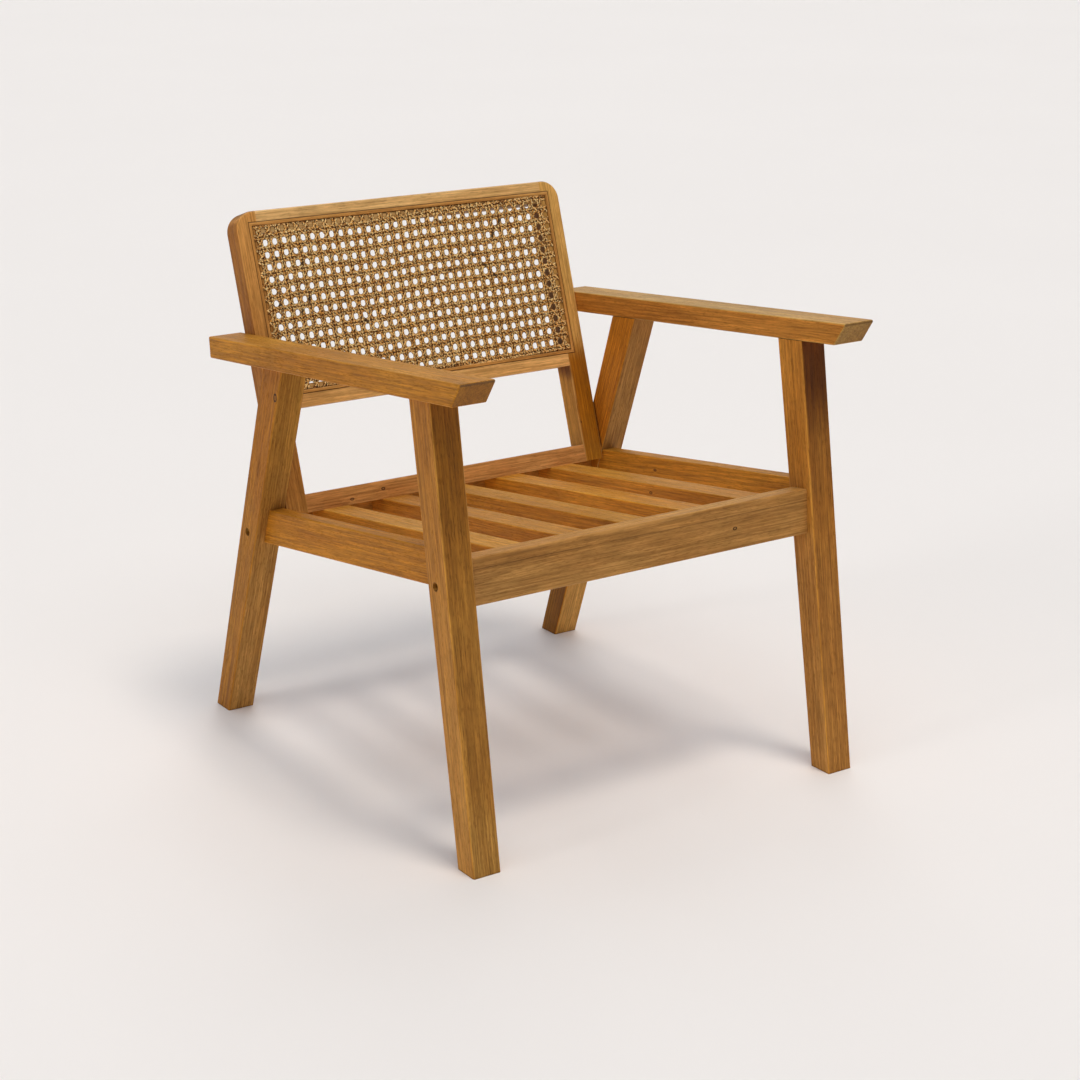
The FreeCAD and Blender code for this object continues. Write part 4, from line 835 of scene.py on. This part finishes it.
# ---------------------------------------------------------------- floor
floor_mesh = bpy.data.meshes.new("floor")
R = 40.0
floor_mesh.from_pydata([(-R, -R, 0), (R, -R, 0), (R, R, 0), (-R, R, 0)], [], [(0, 1, 2, 3)])
floor = bpy.data.objects.new("floor", floor_mesh)
bpy.context.scene.collection.objects.link(floor)
floor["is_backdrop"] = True
ft = Tree("pale_floor")
fc = ft.new("ShaderNodeTexCoord")
fn = ft.noise(ft.vmath("MULTIPLY", fc.outputs["Object"], (0.8, 0.8, 0.8)), detail=3.0)
ft.put(ft.bsdf.inputs["Base Color"], ft.mix(fn, (0.866, 0.815, 0.792), (0.888, 0.838, 0.815)))
ft.put(ft.bsdf.inputs["Roughness"], ft.span(fn, 0.2, 0.8, 0.85, 0.95))
ft.bsdf.inputs["Specular IOR Level"].default_value = 0.10
floor_mesh.materials.append(ft.mat)

# ---------------------------------------------------------------- light
world = bpy.data.worlds.new("studio")
world.use_nodes = True
bpy.context.scene.world = world
bg = world.node_tree.nodes["Background"]
bg.inputs["Strength"].default_value = 1.0
# a pale band round the horizon, as a studio's wall, under a dimmer and bluer ceiling
where = world.node_tree.nodes.new("ShaderNodeTexCoord")
apart = world.node_tree.nodes.new("ShaderNodeSeparateXYZ")
fade = world.node_tree.nodes.new("ShaderNodeMapRange")
fade.interpolation_type = "SMOOTHSTEP"
fade.inputs["From Min"].default_value = 0.04
fade.inputs["From Max"].default_value = 0.26
blend = world.node_tree.nodes.new("ShaderNodeMix")
blend.data_type = "RGBA"
wall_socket, sky_socket = [q for q in blend.inputs if q.type == "RGBA" and q.name in ("A", "B")]
wall_socket.default_value = (0.85, 0.84, 0.83, 1.0)
sky_socket.default_value = (0.090, 0.150, 0.212, 1.0)
world.node_tree.links.new(where.outputs["Generated"], apart.inputs[0])
world.node_tree.links.new(apart.outputs[2], fade.inputs["Value"])
world.node_tree.links.new(fade.outputs["Result"], blend.inputs["Factor"])
world.node_tree.links.new([q for q in blend.outputs if q.type == "RGBA"][0], bg.inputs["Color"])


def sun(name, towards, strength, angle, colour=(1, 1, 1)):
    """towards: the way to the lamp, seen from the chair."""
    d = bpy.data.lights.new(name, "SUN")
    d.energy = strength
    d.angle = math.radians(angle)
    d.color = colour
    o = bpy.data.objects.new(name, d)
    o.rotation_mode = "QUATERNION"
    o.rotation_quaternion = Vector(towards).to_track_quat("Z", "Y")
    bpy.context.scene.collection.objects.link(o)
    return o


# (way round from +X, height above the horizon, spread, strength), in degrees: one broad top light, side fills and low glows
for i, (az, el, spread, strength) in enumerate((
        (288, 74, 16, 1.03), (216, 74, 20, 0.20), (0, 74, 20, 0.11), (144, 74, 24, 0.10), (0, 90, 18, 0.12),
        (280, 55, 22, 0.22), (240, 55, 24, 0.28), (200, 55, 24, 0.16), (240, 35, 26, 0.03),
        (180, 18, 12, 0.39), (40, 55, 26, 0.37), (80, 55, 26, 0.18), (60, 35, 26, 0.27), (60, 18, 22, 0.05))):
    a, e = math.radians(az), math.radians(el)
    sun("lamp_%02d" % i, (math.cos(a) * math.cos(e), math.sin(a) * math.cos(e), math.sin(e)), strength, spread,
        (1.0, 0.920, 0.806) if el > 60 else (0.985, 0.980, 0.970))

# ---------------------------------------------------------------- camera
cam_data = bpy.data.cameras.new("camera")
cam_data.sensor_width = 36.0
cam_data.lens = 2281.86 / 1080 * 36.0
cam = bpy.data.objects.new("camera", cam_data)
bpy.context.scene.collection.objects.link(cam)
right = Vector((0.82383875, -0.56676643, 0.00809561))
fwd = Vector((0.54091156, 0.78182731, -0.31009796))
right = (right - fwd * right.dot(fwd) / fwd.dot(fwd)).normalized()
fwd.normalize()
up = right.cross(fwd)
m = Matrix((right, up, -fwd)).transposed().to_4x4()
m.translation = Vector((-1.75681, -2.21665 - 0.36217, 1.31935))
cam.matrix_world = m
cam_data.clip_start = 0.05
cam_data.clip_end = 200.0
bpy.context.scene.camera = cam

bpy.context.scene.view_settings.view_transform = "Standard"
bpy.context.scene.view_settings.look = "None"

lo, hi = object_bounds()
